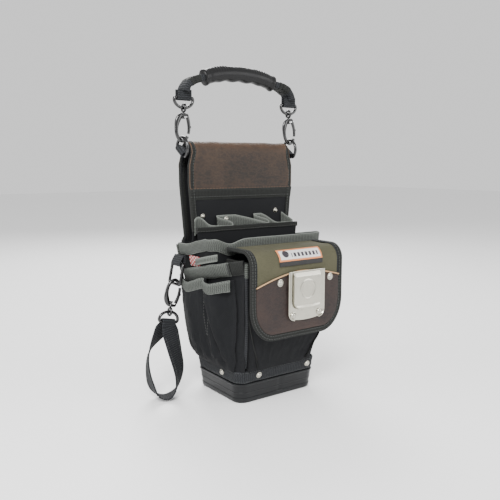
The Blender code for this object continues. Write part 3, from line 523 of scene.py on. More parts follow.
def moulded(name, slot, colour, low, high, grain=0.05):
    """Moulded plastic or rubber with a fine spark-eroded grain."""
    look = Look(name, slot, colour, low, specular=0.25)
    tone = look.noise(55, 4.0)
    fine = look.noise(2600, 2.0)
    look.colour(look.mix(scaled(colour, 0.8), scaled(colour, 1.45), tone))
    look.roughness(tone, low, high)
    look.bump(fine, grain, 0.6)
    return look.material


def metal(name, slot, colour, low, high, metallic=1.0, coat=0.0, brushed=0.0):
    """Plated or painted metal with faint scuffs."""
    look = Look(name, slot, colour, low, metallic, coat=coat)
    tone = look.noise(140, 5.0, rough=0.7)
    fine = look.noise(1800, 2.0, stretch=(1, 1, 0.06) if brushed else None)
    look.colour(look.mix(scaled(colour, 0.85), scaled(colour, 1.12), tone))
    look.roughness(tone, low, high)
    look.bump(fine, 0.02 + brushed, 0.35)
    return look.material


def plain_thread(name, slot, colour):
    look = Look(name, slot, colour, 0.6, sheen=0.03)
    twist = look.noise(900, 2.0)
    look.colour(look.mix(scaled(colour, 0.7), scaled(colour, 1.25), twist))
    return look.material


def tag_look():
    """Small woven tag: red and off-white checks."""
    look = Look("red tag", "label", (0.35, 0.03, 0.03), 0.7)
    check = look.math("MULTIPLY", look.wave(look.u, 6.0), look.wave(look.v, 5.0))
    look.colour(look.mix((0.26, 0.018, 0.018), (0.42, 0.34, 0.32), look.math("GREATER_THAN", check, 0.1)))
    return look.material


def label_look():
    """Woven label: an orange frame, an off-white field with plain bars, and a plain black strip below."""
    look = Look("label weave", "label", (0.8, 0.75, 0.7), 0.7)
    wide, tall, strip = LABEL_RIGHT - LABEL_LEFT, 23.0, 6.0

    def inside(value, low, high):
        above, below = look.math("GREATER_THAN", value, low), look.math("LESS_THAN", value, high)
        return look.math("MULTIPLY", above, below)
    field = look.math("MULTIPLY", inside(look.u, 2.6, wide - 2.6), inside(look.v, strip + 2.2, tall - 2.4))
    bars = look.math("GREATER_THAN", look.math("SINE", look.math("MULTIPLY", look.u, 1.05)), -0.35)
    row = inside(look.v, strip + 5.0, tall - 6.5)
    within = inside(look.u, 20.0, wide - 6.0)
    bars = look.math("MULTIPLY", look.math("MULTIPLY", bars, row), within)
    across = look.math("POWER", look.math("SUBTRACT", look.u, 11.5), 2.0)
    upward = look.math("POWER", look.math("SUBTRACT", look.v, strip + 9.8), 2.0)
    dot = look.math("LESS_THAN", look.math("ADD", across, upward), 24.0)
    threads = look.math("MULTIPLY", look.wave(look.u, 0.8), look.wave(look.v, 0.8))
    weave = look.math("MULTIPLY_ADD", threads, 0.5, 0.5)
    frame_colour = look.mix((0.40, 0.11, 0.03), (0.62, 0.24, 0.09), weave)
    white = look.mix((0.46, 0.45, 0.44), (0.66, 0.65, 0.64), weave)
    marked = look.mix(white, (0.018, 0.014, 0.02), look.math("MAXIMUM", bars, dot))
    upper = look.mix(frame_colour, marked, field)
    lower = look.mix((0.004, 0.004, 0.004), (0.012, 0.011, 0.011), weave)
    look.colour(look.mix(upper, lower, look.math("LESS_THAN", look.v, strip)))
    look.bump(weave, 0.15, 0.6)
    return look.material


LOOKS = {
    "black_fabric": woven("black weave", "black_fabric",
                          (0.0030, 0.0031, 0.0034), (0.0135, 0.0142, 0.0158), 2.3, 0.25),
    # The second colour of each ribbed look is the painted highlight on its rib crests and its paler edges
    "binding": ribbed("charcoal binding", "binding",
                      (0.0045, 0.0048, 0.0044), (0.024, 0.0255, 0.0235), 2.2, 0.35, 0.5),
    "grey_webbing": ribbed("grey webbing", "grey_webbing",
                           (0.018, 0.020, 0.018), (0.115, 0.124, 0.112), 2.6, 0.6, 1.0),
    "black_webbing": ribbed("black webbing", "black_webbing",
                            (0.0025, 0.003, 0.0034), (0.034, 0.036, 0.040), 2.8, 0.6, 0.5),
    # The last colour of each hide is its pull-up, scratch and paler edge colour; on the edges it is partly a
    # painted highlight.
    "leather": hide("brown leather", "leather", (0.0055, 0.0042, 0.0034), (0.013, 0.0092, 0.0068),
                    (0.030, 0.019, 0.0125), (0.11, 0.056, 0.029), 0.35, 1.3),
    "flap_leather": hide("dark flap leather", "flap_leather", (0.007, 0.0042, 0.004), (0.014, 0.0085, 0.0075),
                         (0.024, 0.014, 0.0115), (0.06, 0.032, 0.022), 0.4, 0.2),
    "olive_fabric": woven("olive heather", "olive_fabric",
                          (0.020, 0.021, 0.012), (0.105, 0.100, 0.062), 1.7, 0.7),
    "moulded_plastic": moulded("satin charcoal plastic", "moulded_plastic",
                               (0.006, 0.0064, 0.007), 0.26, 0.42, 0.03),
    "rubber": moulded("black rubber", "rubber", (0.0035, 0.0035, 0.0038), 0.30, 0.48, 0.05),
    "black_metal": metal("gloss black metal", "black_metal", (0.0035, 0.0035, 0.004), 0.14, 0.26, 0.0, 0.25),
    "nickel": metal("satin nickel", "nickel", (0.46, 0.445, 0.38), 0.22, 0.38, 1.0, 0.0, 0.01),
    "label": label_look(),
    "piping": ribbed("orange piping", "olive_fabric", (0.22, 0.09, 0.03), (0.62, 0.42, 0.24), 1.6, 0.15, 0.2),
    "tag": tag_look(),
    "black_thread": plain_thread("black thread", "binding", (0.006, 0.0065, 0.007)),
    "grey_thread": plain_thread("grey thread", "grey_webbing", (0.045, 0.048, 0.045)),
    "brown_thread": plain_thread("brown thread", "leather", (0.10, 0.045, 0.02)),
}


def creased(grid, depth, size, seed, hold=None):
    """A grid pushed in and out along its own sideways normals by smooth noise. hold fades it to nothing."""
    grid = np.array(grid, float)
    along = np.gradient(grid, axis=1)
    upward = np.gradient(grid, axis=0)
    normal = unit(np.cross(along, upward))
    amount = depth * wobble(grid, size, seed)
    if hold is not None:
        amount = amount * hold
    return grid + normal * amount[..., None]


def fade(rows, cols, low=0.15, high=0.15, ends=0.08):
    """1 in the middle of a grid, falling to 0 at its sewn edges."""
    r, c = np.linspace(0, 1, rows)[:, None], np.linspace(0, 1, cols)[None, :]

    def ease(t):
        t = np.clip(t, 0, 1)
        return t * t * (3 - 2 * t)
    bottom = ease(r / low) if low else np.ones_like(r)
    top = ease((1 - r) / high) if high else np.ones_like(r)
    sides = ease(c / ends) * ease((1 - c) / ends) if ends else np.ones_like(c)
    return bottom * top * sides


# Outline of the main pocket, the same as the frame's walls until belly pushes it out

def flare(z):
    return BASE_FLARE * z / BASE_HEIGHT


def rise_of(z):
    return min(max((z - BAND_HIGH) / (RIM_TOP - BAND_HIGH), 0.0), 1.0)


def side_x(z):
    return BASE_X - TRAY_WALL - GAP + flare(min(z, BAND_HIGH)) + 25.5 * rise_of(z) ** 0.8


def front_y(z):
    return BASE_Y - TRAY_WALL - GAP + flare(min(z, BAND_HIGH)) - 18.0 * rise_of(z) ** 0.8


def back_y(z):
    return min(BASE_Y - TRAY_WALL - GAP + flare(min(z, BAND_HIGH)), BACK_BOX[0][1] - 0.4)


def side_bulge(z, y):
    return 8.0 * rise_of(z) * min(max((y + 33.0) / 76.0, 0.0), 1.0)


def pocket_plan(z):
    """Plan of the pocket's outside at a height, anticlockwise from the middle of the back."""
    plan = rounded_box(side_x(z), -front_y(z), back_y(z), POCKET_CORNER, 12, 40)
    lean = [side_bulge(z, y) * min(1.0, max(0.0, abs(x) - 45) / (side_x(z) - 45)) * math.copysign(1, x)
            for x, y in plan]
    return np.array([(x + extra, y, z) for (x, y), extra in zip(plan, lean)])


def belly(grid):
    """The full pockets hang out over the base on both sides, most of all towards the back."""
    grid = np.array(grid, float)
    x, y, z = grid[..., 0], grid[..., 1], grid[..., 2]

    def ease(t):
        t = np.clip(t, 0, 1)
        return t * t * (3 - 2 * t)
    height = ease((z - 41) / 20) * (1 - ease((z - 66) / 96))
    amount = BELLY * height * ease((y + 46) / 62) * ease((np.abs(x) - 38) / 20)
    grid[..., 0] = x + np.sign(x) * amount
    return grid


def rim_height(x, y):
    """Top edge of the rim, which sags on the left side and again beyond the left front corner."""
    if y > -20:
        sag = 2.6 * math.exp(-((y - 18) / 14) ** 2) if x < 0 else 0.0
        bump = 1.5 * math.exp(-((y + 24) / 9) ** 2) if x < 0 else 0.0
        return blend(209.0, 200.0, (y + 20) / 60) - sag + bump
    corner = 1.5 * math.exp(-((x + 82) / 6) ** 2)
    return 209.0 - 5.5 * math.exp(-((x + 62) / 13) ** 2) + corner


def wall_x(z, y, out=0.0):
    """How far out the pocket's side is at a height and a depth, out past its cloth, or 0 in front of it."""
    past = POCKET_CORNER - front_y(z) - y
    radius = POCKET_CORNER + out
    if past >= radius:
        return 0.0
    turn = radius if past <= 0 else math.sqrt(radius ** 2 - past ** 2)
    return side_x(z) + side_bulge(z, y) - POCKET_CORNER + turn


def meter_at(z):
    """Half width and front of the meter pocket at a height."""
    z_list = (BAND_HIGH + 0.8, 75, 110, 150, 184)
    return np.interp(z, z_list, (51, 57, 62, 66.5, 68)), np.interp(z, z_list, (-56.5, -68, -77, -83, -84.5))


def build_base():
    """The moulded tray with its lip, ribs and foot, and the webbing band above it."""
    rows = [(3.0, -9.0), (3.0, -3.4), (3.6, -3.0), (24.6, -2.9), (25.6, -2.5), (26.0, -1.6), (26.0, -0.3),
            (25.7, 0.3), (24.9, 0.65), (23.8, 0.65), (23.2, 0.3), (22.9, -0.05), (14.6, -0.05), (14.3, 0.25),
            (13.3, 0.25), (13.0, -0.05), (6.8, -0.05), (6.4, 0.5), (5.6, 0.7), (1.6, 0.55), (0.5, 0.0),
            (0.0, -1.2), (0.0, -9.0)]
    grid = np.array([[(x, y, z) for x, y in rounded_box(BASE_X + flare(z) + out, -BASE_Y - flare(z) - out,
                                                        BASE_Y + flare(z) + out, BASE_CORNER + out, 12, 30)]
                     for z, out in rows])
    count, cols = grid.shape[:2]
    # A shallow notch in the middle of the front, over the foot
    for r, (z, _) in enumerate(rows):
        if 6 < z < 25 and r > 6:
            near = np.exp(-(np.minimum(np.abs(grid[r, :, 0] - 4), 9) / 2.4) ** 4) * (grid[r, :, 1] < 0)
            grid[r, :, 1] += 0.9 * near
    faces, corners = grid_faces(count, cols, True)
    u, v = grid_uv(grid, True)
    uvs = [(u[c], v[r]) for r, c in corners]
    for start, order in ((0, range(cols - 1, -1, -1)), ((count - 1) * cols, range(cols))):
        faces.append([start + k for k in order])
        uvs += [(grid.reshape(-1, 3)[start + k][0], grid.reshape(-1, 3)[start + k][1]) for k in order]
    points = grid.reshape(-1, 3)
    make("moulded_tray", points, *outward(points, faces, uvs), LOOKS["moulded_plastic"],
         replaced=("base_tray",), angle=32)

    def ring(z, out):
        x = BASE_X - TRAY_WALL + flare(z) + out
        y = BASE_Y - TRAY_WALL + flare(z) + out
        return [(px, py, z) for px, py in rounded_box(x, -y, y, 11.5 + out, 12, 40)]
    levels = np.linspace(BAND_LOW - 0.6, BAND_HIGH + 1.2, 9)
    puff = [2.2, 2.9, 3.2, 3.0, 2.8, 3.0, 3.2, 2.9, 2.2]
    band = creased([ring(z, out) for z, out in zip(levels, puff)], 0.5, (16, 16, 9), 3)
    cloth("band_strip", band, 2.4, LOOKS["black_webbing"], replaced=("base_band",), closed=True)
    for k, row in enumerate((1, 7)):
        loop = np.concatenate([band[row], band[row][:1]])
        stitches("band_stitches_%d" % k, loop + plan_sides(loop) * 0.15, plan_sides(loop),
                 LOOKS["grey_thread"], stitch=2.2, space=1.2, thick=0.25)


def build_pocket():
    """The main pocket's walls as one lofted shell, its rim webbing, and the seams that show."""
    levels = np.concatenate([[4, 14, 26, 34], np.linspace(42, 196, 32)])
    rows = [pocket_plan(z) for z in levels]
    top = pocket_plan(RIM_TOP)
    top[:, 2] = [rim_height(x, y) - 1.0 for x, y, _ in top]
    grid = np.array(rows + [top])
    hold = fade(len(grid), grid.shape[1], 0.3, 0.08, 0)
    front = np.clip((-grid[..., 1] - 15) / 15, 0, 1)
    slack = 0.9 * np.abs(wobble(grid, (26, 26, 34), 5)) * hold * (1 - 0.5 * front)
    grid = belly(grid - plan_sides(grid, True) * slack[..., None])
    cloth("pocket_walls", grid, WALL, LOOKS["black_fabric"], closed=True,
          replaced=("left_wall", "right_wall", "front_wall", "back_wall"))

    def rim(drop, out):
        plan = pocket_plan(RIM_TOP - drop)
        keep = plan[plan[:, 1] < 39]
        keep[:, 2] = [rim_height(x, y) - drop for x, y, _ in keep]
        return keep + plan_sides(keep) * out
    whole = [rim(d, o) for d, o in ((15, 1.3), (13, 2.1), (9, 2.4), (6, 2.3), (3, 2.4), (1, 2.1),
                                    (-0.6, 1.2))]
    least = min(len(row) for row in whole)
    band = np.array([resample(row, least) for row in whole])
    band = creased(band, 0.45, (14, 14, 10), 8)
    cloth("rim_binding", band, WEBBING, LOOKS["grey_webbing"], replaced=("rim_webbing",))
    for k, row in enumerate((1, 5)):
        stitches("rim_stitches_%d" % k, band[row] + plan_sides(band[row]) * 0.15, plan_sides(band[row]),
                 LOOKS["black_thread"], thick=0.28)


def hood_half(z):
    if z > 300:
        return blend(HOOD_HALF, HOOD_TOP_HALF, (z - 300) / (HOOD_TURN_Z - 300))
    if z > 205:
        return blend(78, HOOD_HALF, (z - 205) / 70)
    return blend(side_x(z) - WALL - 2.5, 78, (z - 200) / 5)


def back_half(z):
    return min(hood_half(z), side_x(z) + 1) if z < 205 else hood_half(z)


MID_Y = (HOOD_FRONT + BACK_BOX[1][1]) / 2
TURN_R = MID_Y - HOOD_FRONT


def hood_turn(angle, out):
    a = math.radians(angle)
    return MID_Y - (TURN_R + out) * math.cos(a), HOOD_TURN_Z + (TURN_R + out) * math.sin(a)


def build_hood():
    across = np.linspace(-1, 1, 61)
    # Front panel, up and over the top
    rows = [[(t * hood_half(z), HOOD_FRONT, z) for t in across] for z in np.linspace(60, 312, 36)]
    for a in range(0, 180, 11):
        y, z = hood_turn(a, 0)
        rows.append([(t * HOOD_TOP_HALF, y, z) for t in across])
    grid = np.array(rows)
    puff = fade(36, 61, 0.2, 0.2, 0.12)
    grid[:36, :, 1] -= 0.8 * puff * (0.5 + 0.5 * wobble(grid[:36], (45, 30, 50), 12))
    cloth("hood_front", grid, 2.5, LOOKS["black_fabric"], replaced=("front_panel",))
    # Back panel: padded between sewn channels
    heights = np.linspace(BAND_HIGH + 0.6, HOOD_TURN_Z - 1, 60)
    near = np.array([[(-t * back_half(z), BACK_BOX[1][1], z) for t in across] for z in heights])
    channel = np.ones(near.shape[:2])
    for line in (95, 150, 200, 295):
        channel *= 1 - 0.95 * np.exp(-((near[..., 2] - line) / 3.2) ** 2)
    near[..., 1] += 1.6 * channel * fade(60, 61, 0.08, 0.05, 0.07) - 0.4
    cloth("back_padding", near, 4.2, LOOKS["black_fabric"], replaced=("back_panel",))

    # Leather over the upper front, the turn and a little of the back
    # The leather is painted paler towards the top and most on the turn over the top, partly for abrasion and
    # partly as a painted highlight on the curve.
    rows, wear_and_shine = [], []
    for z in np.linspace(LEATHER_BOX[0][2], 314, 14):
        rows.append([(t * (hood_half(z) - 0.3), HOOD_FRONT - 1.9, z) for t in across])
        wear_and_shine.append(0.05 + 0.15 * max(0.0, (z - 296) / 18))
    for a in range(0, 185, 10):
        y, z = hood_turn(a, 1.9)
        rows.append([(t * (HOOD_TOP_HALF - 0.3), y, z) for t in across])
        wear_and_shine.append(0.2 + 0.3 * math.exp(-((a - 55) / 30) ** 2))
    for z in np.linspace(310, 296, 4):
        rows.append([(t * (hood_half(z) - 0.3), BACK_BOX[1][1] + 1.9, z) for t in across])
        wear_and_shine.append(0.1)
    grid = creased(rows, 0.6, (24, 18, 18), 21, fade(len(rows), 61, 0.06, 0.06, 0.04))
    ends = 0.55 * np.clip((np.abs(across) - 0.86) / 0.14, 0, 1)
    wear_and_highlight = np.clip(np.array(wear_and_shine)[:, None] + ends[None, :], 0, 1)
    cloth("leather_cap", grid, 1.6, LOOKS["leather"], replaced=("leather_hood",), wear_and_highlight=wear_and_highlight)
    stitches("leather_stitches", grid[0] + (0, -0.1, 2.6), (0, -1, 0), LOOKS["brown_thread"], stitch=3.2,
             space=1.6)

    # Black hem under the leather's lower edge, and bindings folded round the hood's sides
    hem = [[(t * (hood_half(z) + 0.2), HOOD_FRONT - out, z) for t in across]
           for z, out in ((254.5, 0.5), (255.5, 1.3), (259, 1.7), (264, 1.8), (267.5, 2.3), (269, 2.3),
                          (270, 1.9))]
    hem = creased(hem, 0.35, (16, 10, 8), 31)
    cloth("hood_hem", hem, 1.2, LOOKS["binding"])
    stitches("hem_stitches", hem[2] + (0, -0.1, 0), (0, -1, 0), LOOKS["grey_thread"], thick=0.26)
    for name, sign in (("left", -1), ("right", 1)):
        path = [(sign * (hood_half(z) - 3.3), HOOD_FRONT + 0.7, z) for z in np.linspace(214, 312, 26)]
        normal = [(0, -1, 0)] * 26
        for a in range(0, 181, 9):
            y, z = hood_turn(a, -0.7)
            path.append((sign * (HOOD_TOP_HALF - 3.3), y, z))
            normal.append((0, -math.cos(math.radians(a)), math.sin(math.radians(a))))
        path += [(sign * (back_half(z) - 3.3), BACK_BOX[1][1] - 1.6, z) for z in np.linspace(308, 60, 40)]
        normal += [(0, 1, 0)] * 40
        path, normal = np.array(path), np.array(normal, float)
        section = fold_section(7.8, 5.6)
        sweep(name + "_hood_binding", path, (sign, 0, 0), normal, section, LOOKS["binding"])
        line = path + np.array((-sign * 2.3, 0, 0)) + normal * 2.85
        stitches(name + "_hood_stitches", line[:46], normal[:46], LOOKS["grey_thread"], thick=0.28)

    # Divider, its binding, and the tool loops
    rows = [(z, np.interp(z, (48, 120, 200, 219), (57, 70, 80, 82))) for z in np.linspace(48, 219, 30)]
    grid = np.array([[(t * w, DIVIDER_Y, z) for t in across] for z, w in rows])
    grid[..., 1] -= 0.9 * np.abs(wobble(grid, (40, 30, 40), 41)) * fade(30, 61, 0.1, 0.1, 0.05)
    cloth("divider", grid, 2.4, LOOKS["black_fabric"], replaced=("divider_panel",))
    top = np.array([(t * 82.4, DIVIDER_Y + 1.2, 217.4) for t in across])
    top[:, 2] += 0.5 * wobble(top, (20, 20, 20), 42)
    sweep("divider_binding", top, (0, -1, 0), (0, 0, 1), rounded_section(4.4, 6.6, 1.1), LOOKS["binding"])
    stitches("divider_stitches", top + (0, -2.3, -1.6), (0, -1, 0), LOOKS["grey_thread"], thick=0.28)

    plan = [(-79, 24.5), (-73, 26.8), (-67, 25), (-60, 19.8), (-50, 18.4), (-28, 18.0), (-23.2, 19.2),
            (-26, 21.4), (-38, 24.2), (-43.5, 26.0), (-41, 28.0), (-29, 28.0), (-18, 27.4), (0, 24.6),
            (22, 20.6), (33, 18.4), (37.6, 19.4), (34.5, 21.6), (24, 24.0), (16.6, 26.2), (19, 28.2),
            (27, 27.4), (36, 24.6), (44, 20.2), (52, 18.0), (74, 18.0), (79.2, 19.2), (76.5, 21.4),
            (70, 24.6), (65, 27.8)]
    middle = spline(plan, 260)
    high = np.array([(x, y, blend(221.0, 234.0, (y - 18) / 9)) for x, y in middle])
    out = plan_sides(high)
    rows = [high + out * o - (0, 0, d)
            for d, o in ((21, 0.5), (20, 0.7), (15, 0.9), (10, 0.8), (5, 0.9), (1, 0.7), (0, 0.5))]
    cloth("tool_loops", rows, 1.4, LOOKS["grey_webbing"], replaced=("tool_loop_webbing",))


def fold_section(wide, thick):
    """Section of a binding folded round an edge: flat strips on both faces and a round outer edge."""
    half, r = wide / 2, thick / 2
    shape = [(half - r + r * math.cos(a), r * math.sin(a)) for a in np.radians(range(-80, 81, 20))]
    shape += [(x, r) for x in (half - r - 1, 0, -half + 0.6)] + [(-half, r - 0.7), (-half, -r + 0.7)]
    return shape + [(x, -r) for x in (-half + 0.6, 0, half - r - 1)]


def rounded_section(wide, tall, radius):
    """A rectangle with rounded corners: wide along side and tall along up."""
    shape = []
    for sx, sy, start in ((1, 1, 0), (-1, 1, 90), (-1, -1, 180), (1, -1, 270)):
        shape += arc((sx * (wide / 2 - radius), sy * (tall / 2 - radius)), radius, start, start + 90, 5)
    return shape


def build_meter_pocket():
    rows = []
    for z in np.linspace(BAND_HIGH + 0.8, 184, 40):
        x, y = meter_at(z)
        back = -front_y(z) - GAP
        r = 9.0 if z > 60 else 3.0 + 6.0 * max(0, (z - 43) / 17)
        plan = [(-x, back), (-x, (back + y + r) / 2)] + arc((-x + r, y + r), r, 180, 270, 10)
        plan += [(t * (x - r), y) for t in (-0.6, -0.2, 0.2, 0.6)]
        plan += arc((x - r, y + r), r, 270, 360, 10) + [(x, (back + y + r) / 2), (x, back)]
        rows.append(resample([(px, py, z) for px, py in plan], 110))
    grid = np.array(rows)
    hold = fade(40, 110, 0.1, 0.15, 0.05)
    folds = wobble(grid, (18, 18, 42), 51) + 0.6 * wobble(grid, (60, 60, 15), 52)
    grid = grid - plan_sides(grid) * (1.5 * np.abs(folds) * hold)[..., None]
    cloth("meter_pouch", grid, 2.4, LOOKS["black_fabric"], replaced=("meter_pocket",))
    top = grid[-1]
    sweep("meter_binding", top + (0, 0, -1.6) - plan_sides(top) * 1.2, plan_sides(top), (0, 0, 1),
          rounded_section(4.6, 6.5, 1.2), LOOKS["binding"])
    for k, start in enumerate((18, 91)):
        line = grid[1:-1, start] + plan_sides(grid)[1:-1, start] * 0.5
        sweep("meter_piping_%d" % k, line, plan_sides(grid)[1:-1, start], (0, 1, 0), round_section(1.3, 10),
              LOOKS["binding"])


def flap_width(z, inset=0.0):
    wide, tall = FLAP_CORNER
    drop = max(0.0, FLAP_LOW + tall - z)
    return FLAP_HALF - wide + (wide - inset) * math.sqrt(max(0.0, 1 - (drop / (tall - inset)) ** 2))


def flap_turn(angle, out):
    r, a = FLAP_BEND + out, math.radians(angle)
    return FLAP_FRONT + FLAP_BEND - r * math.cos(a), FLAP_TOP - FLAP_BEND + r * math.sin(a)


def build_flap():
    across = np.linspace(-1, 1, 61)
    rows = [[(t * FLAP_HALF, y, FLAP_TOP + 0.5 * math.sin((y + 38) / 34 * math.pi)) for t in across]
            for y in np.linspace(-38.8, -71.5, 12)]
    for a in range(90, -1, -9):
        y, z = flap_turn(a, 0)
        rows.append([(t * FLAP_HALF, y, z) for t in across])
    drops = [FLAP_LOW + 91 * (1 - s) for s in np.linspace(0.03, 0.88, 26)]
    drops += [FLAP_LOW + d for d in (8.5, 6.5, 4.5, 3, 1.8, 0.9, 0.3, 0.0)]
    rows += [[(t * flap_width(z), FLAP_FRONT, z) for t in across] for z in drops]
    grid = creased(rows, 0.7, (34, 26, 30), 61, fade(len(rows), 61, 0.05, 0.06, 0.06))
    cloth("flap_fabric", grid, 1.7, LOOKS["olive_fabric"], "flap", ("flap_panel",), flip=True)

    # Leather on the lower front, with an arched top edge and a piping along it
    def arch(x):
        return 171.4 - 11.4 * (abs(x) / 60) ** 1.7 + 2.2 * x / 60
    lower = [(t, s) for s in np.linspace(0, 1, 26) for t in across]
    points = []
    for t, s in lower:
        z = 97.5 + (arch(t * 63) - 97.5) * s ** 0.9
        points.append((t * flap_width(z, 7.0), FLAP_FRONT - 1.6, z))
    sheet = np.array(points).reshape(26, 61, 3)
    sheet[..., 1] -= 0.35 * fade(26, 61, 0.1, 0.1, 0.05) * (1 + wobble(sheet, (16, 16, 16), 62))
    cloth("flap_hide", sheet, 1.3, LOOKS["flap_leather"], "flap", ("flap_leather",))
    sweep("flap_piping", sheet[-1] + (0, -0.3, 0.4), (0, -1, 0), (0, 0, 1), round_section(0.95, 10),
          LOOKS["piping"], "flap")
    sweep("flap_piping_under", sheet[-1] + (0, -0.1, -1.5), (0, -1, 0), (0, 0, 1), round_section(0.6, 8),
          LOOKS["leather"], "flap")

    # Binding: along the top's sides, over the bend and round the front's rounded bottom
    edge, normal = [], []
    for y in np.linspace(-40, -71, 10):
        edge.append((-FLAP_HALF, y, FLAP_TOP))
        normal.append((0, 0, 1))
    for a in range(88, -1, -8):
        y, z = flap_turn(a, 0)
        edge.append((-FLAP_HALF, y, z))
        normal.append((0, -math.cos(math.radians(a)), math.sin(math.radians(a))))
    for z in np.linspace(176, 134, 12):
        edge.append((-FLAP_HALF, FLAP_FRONT, z))
        normal.append((0, -1, 0))
    wide, tall = FLAP_CORNER
    for a in range(180, 271, 6):
        edge.append((-FLAP_HALF + wide + wide * math.cos(math.radians(a)), FLAP_FRONT,
                     FLAP_LOW + tall + tall * math.sin(math.radians(a))))
        normal.append((0, -1, 0))
    edge += [(x, FLAP_FRONT, FLAP_LOW) for x in (-30, -22, -14, -7)]
    normal += [(0, -1, 0)] * 4
    edge = np.array(edge + [(0, FLAP_FRONT, FLAP_LOW)] + [(-x, y, z) for x, y, z in reversed(edge)])
    normal = np.array(normal + [(0, -1, 0)] + normal[::-1], float)
    along = unit(np.gradient(edge, axis=0))
    inwards = unit(np.cross(normal, along))
    if inwards[5][0] < 0:
        inwards = -inwards
    middle = edge + inwards * 3.3 - normal * 0.85
    sweep("flap_rim", middle, -inwards, normal, fold_section(8.2, 4.3), LOOKS["binding"], "flap",
          ("flap_binding",))
    for k, d in enumerate((5.6, 1.9)):
        stitches("flap_rim_stitches_%d" % k, edge + inwards * d + normal * 1.38, normal,
                 LOOKS["grey_thread"], "flap", thick=0.28)
    sweep("flap_inner_line", edge + inwards * 8.0 + normal * 0.5, inwards, normal, round_section(0.8, 8, 0.7),
          LOOKS["black_webbing"], "flap")

    def label_point(x, s):
        """s runs along the flap from its front face, which is negative, up round the bend."""
        if s < 0:
            return (x, FLAP_FRONT - 1.15, FLAP_TOP - FLAP_BEND + s)
        return (x, *flap_turn(math.degrees(s / (FLAP_BEND + 1.15)), 1.15))
    columns, runs = np.linspace(LABEL_LEFT, LABEL_RIGHT, 40), np.linspace(-2.5, 20.5, 24)
    rows = [[label_point(x, s) for x in columns] for s in runs]
    cloth("woven_label", rows, 0.7, LOOKS["label"], "flap", ("label_patch",))
    build_clip()


def build_clip():
    """The tape clip: a flanged plate with a raised tongue."""
    left, right, low, high = CLIP_BOX[0][0], CLIP_BOX[1][0], CLIP_BOX[0][2], CLIP_BOX[1][2]
    mid, half = (left + right) / 2, (right - left) / 2
    front = CLIP_BOX[1][1] - 1.5
    across = np.linspace(-1, 1, 57)
    rows = []
    for s in np.linspace(0, 1, 40):
        z = low + (high - low) * s
        drop = max(0.0, 9.0 - (z - low))
        w = half - 9.0 + math.sqrt(max(0.0, 81.0 - drop ** 2)) if drop else half
        w = max(w, half - 8.5)
        row = []
        for t in across:
            flange = max(0.0, (abs(t) - 0.93) / 0.07) ** 2 * 1.9
            sag = 1.6 * (1 - t * t) * max(0.0, 1 - s * 8)
            row.append((mid + t * w, front - flange - 0.12, z - sag))
        rows.append(row)
    cloth("clip_back", rows, 1.3, LOOKS["nickel"], "flap", ("clip_plate",), round_by=0.3, angle=50)

    t_low, t_high = TONGUE_BOX[0][2], TONGUE_BOX[1][2]
    t_half = (TONGUE_BOX[1][0] - TONGUE_BOX[0][0]) / 2
    across = np.linspace(-1, 1, 81)
    rows = []
    for s in np.concatenate([np.linspace(0, 0.16, 14), np.linspace(0.18, 1, 52)]):
        z = t_low + (t_high - t_low) * s
        up = z - t_low
        w = t_half - 10 + math.sqrt(max(0.0, 100 - max(0.0, 10 - up) ** 2))
        lift = np.interp(z, (t_low, 129, 142, t_high - 5, t_high), (1.6, 2.3, 2.8, 2.4, -0.2))
        row = []
        for t in across:
            x, sag = t * w, 2.2 * (1 - t * t) * max(0.0, 1 - up / 9)
            ridge = 0.9 * math.exp(-((up - 3.4 + sag * 0.3) / 1.1) ** 2)
            ridge -= 0.5 * math.exp(-((up - 6.4) / 0.9) ** 2)
            ring = math.hypot(x + 1.5, z - 149.0)
            ridge += 0.8 * math.exp(-((ring - 11.6) / 0.9) ** 2) + 0.3 * math.exp(-((ring - 8.4) / 0.7) ** 2)
            fold = max(0.0, (abs(t) - 0.90) / 0.10) ** 2.5 * (lift + 0.9)
            row.append((mid + x, TONGUE_BOX[1][1] - 1.5 - lift - ridge * 0.8 + fold, z - sag))
        rows.append(row)
    cloth("clip_front", rows, 1.1, LOOKS["nickel"], "flap", ("clip_tongue",), round_by=0.35, angle=60)


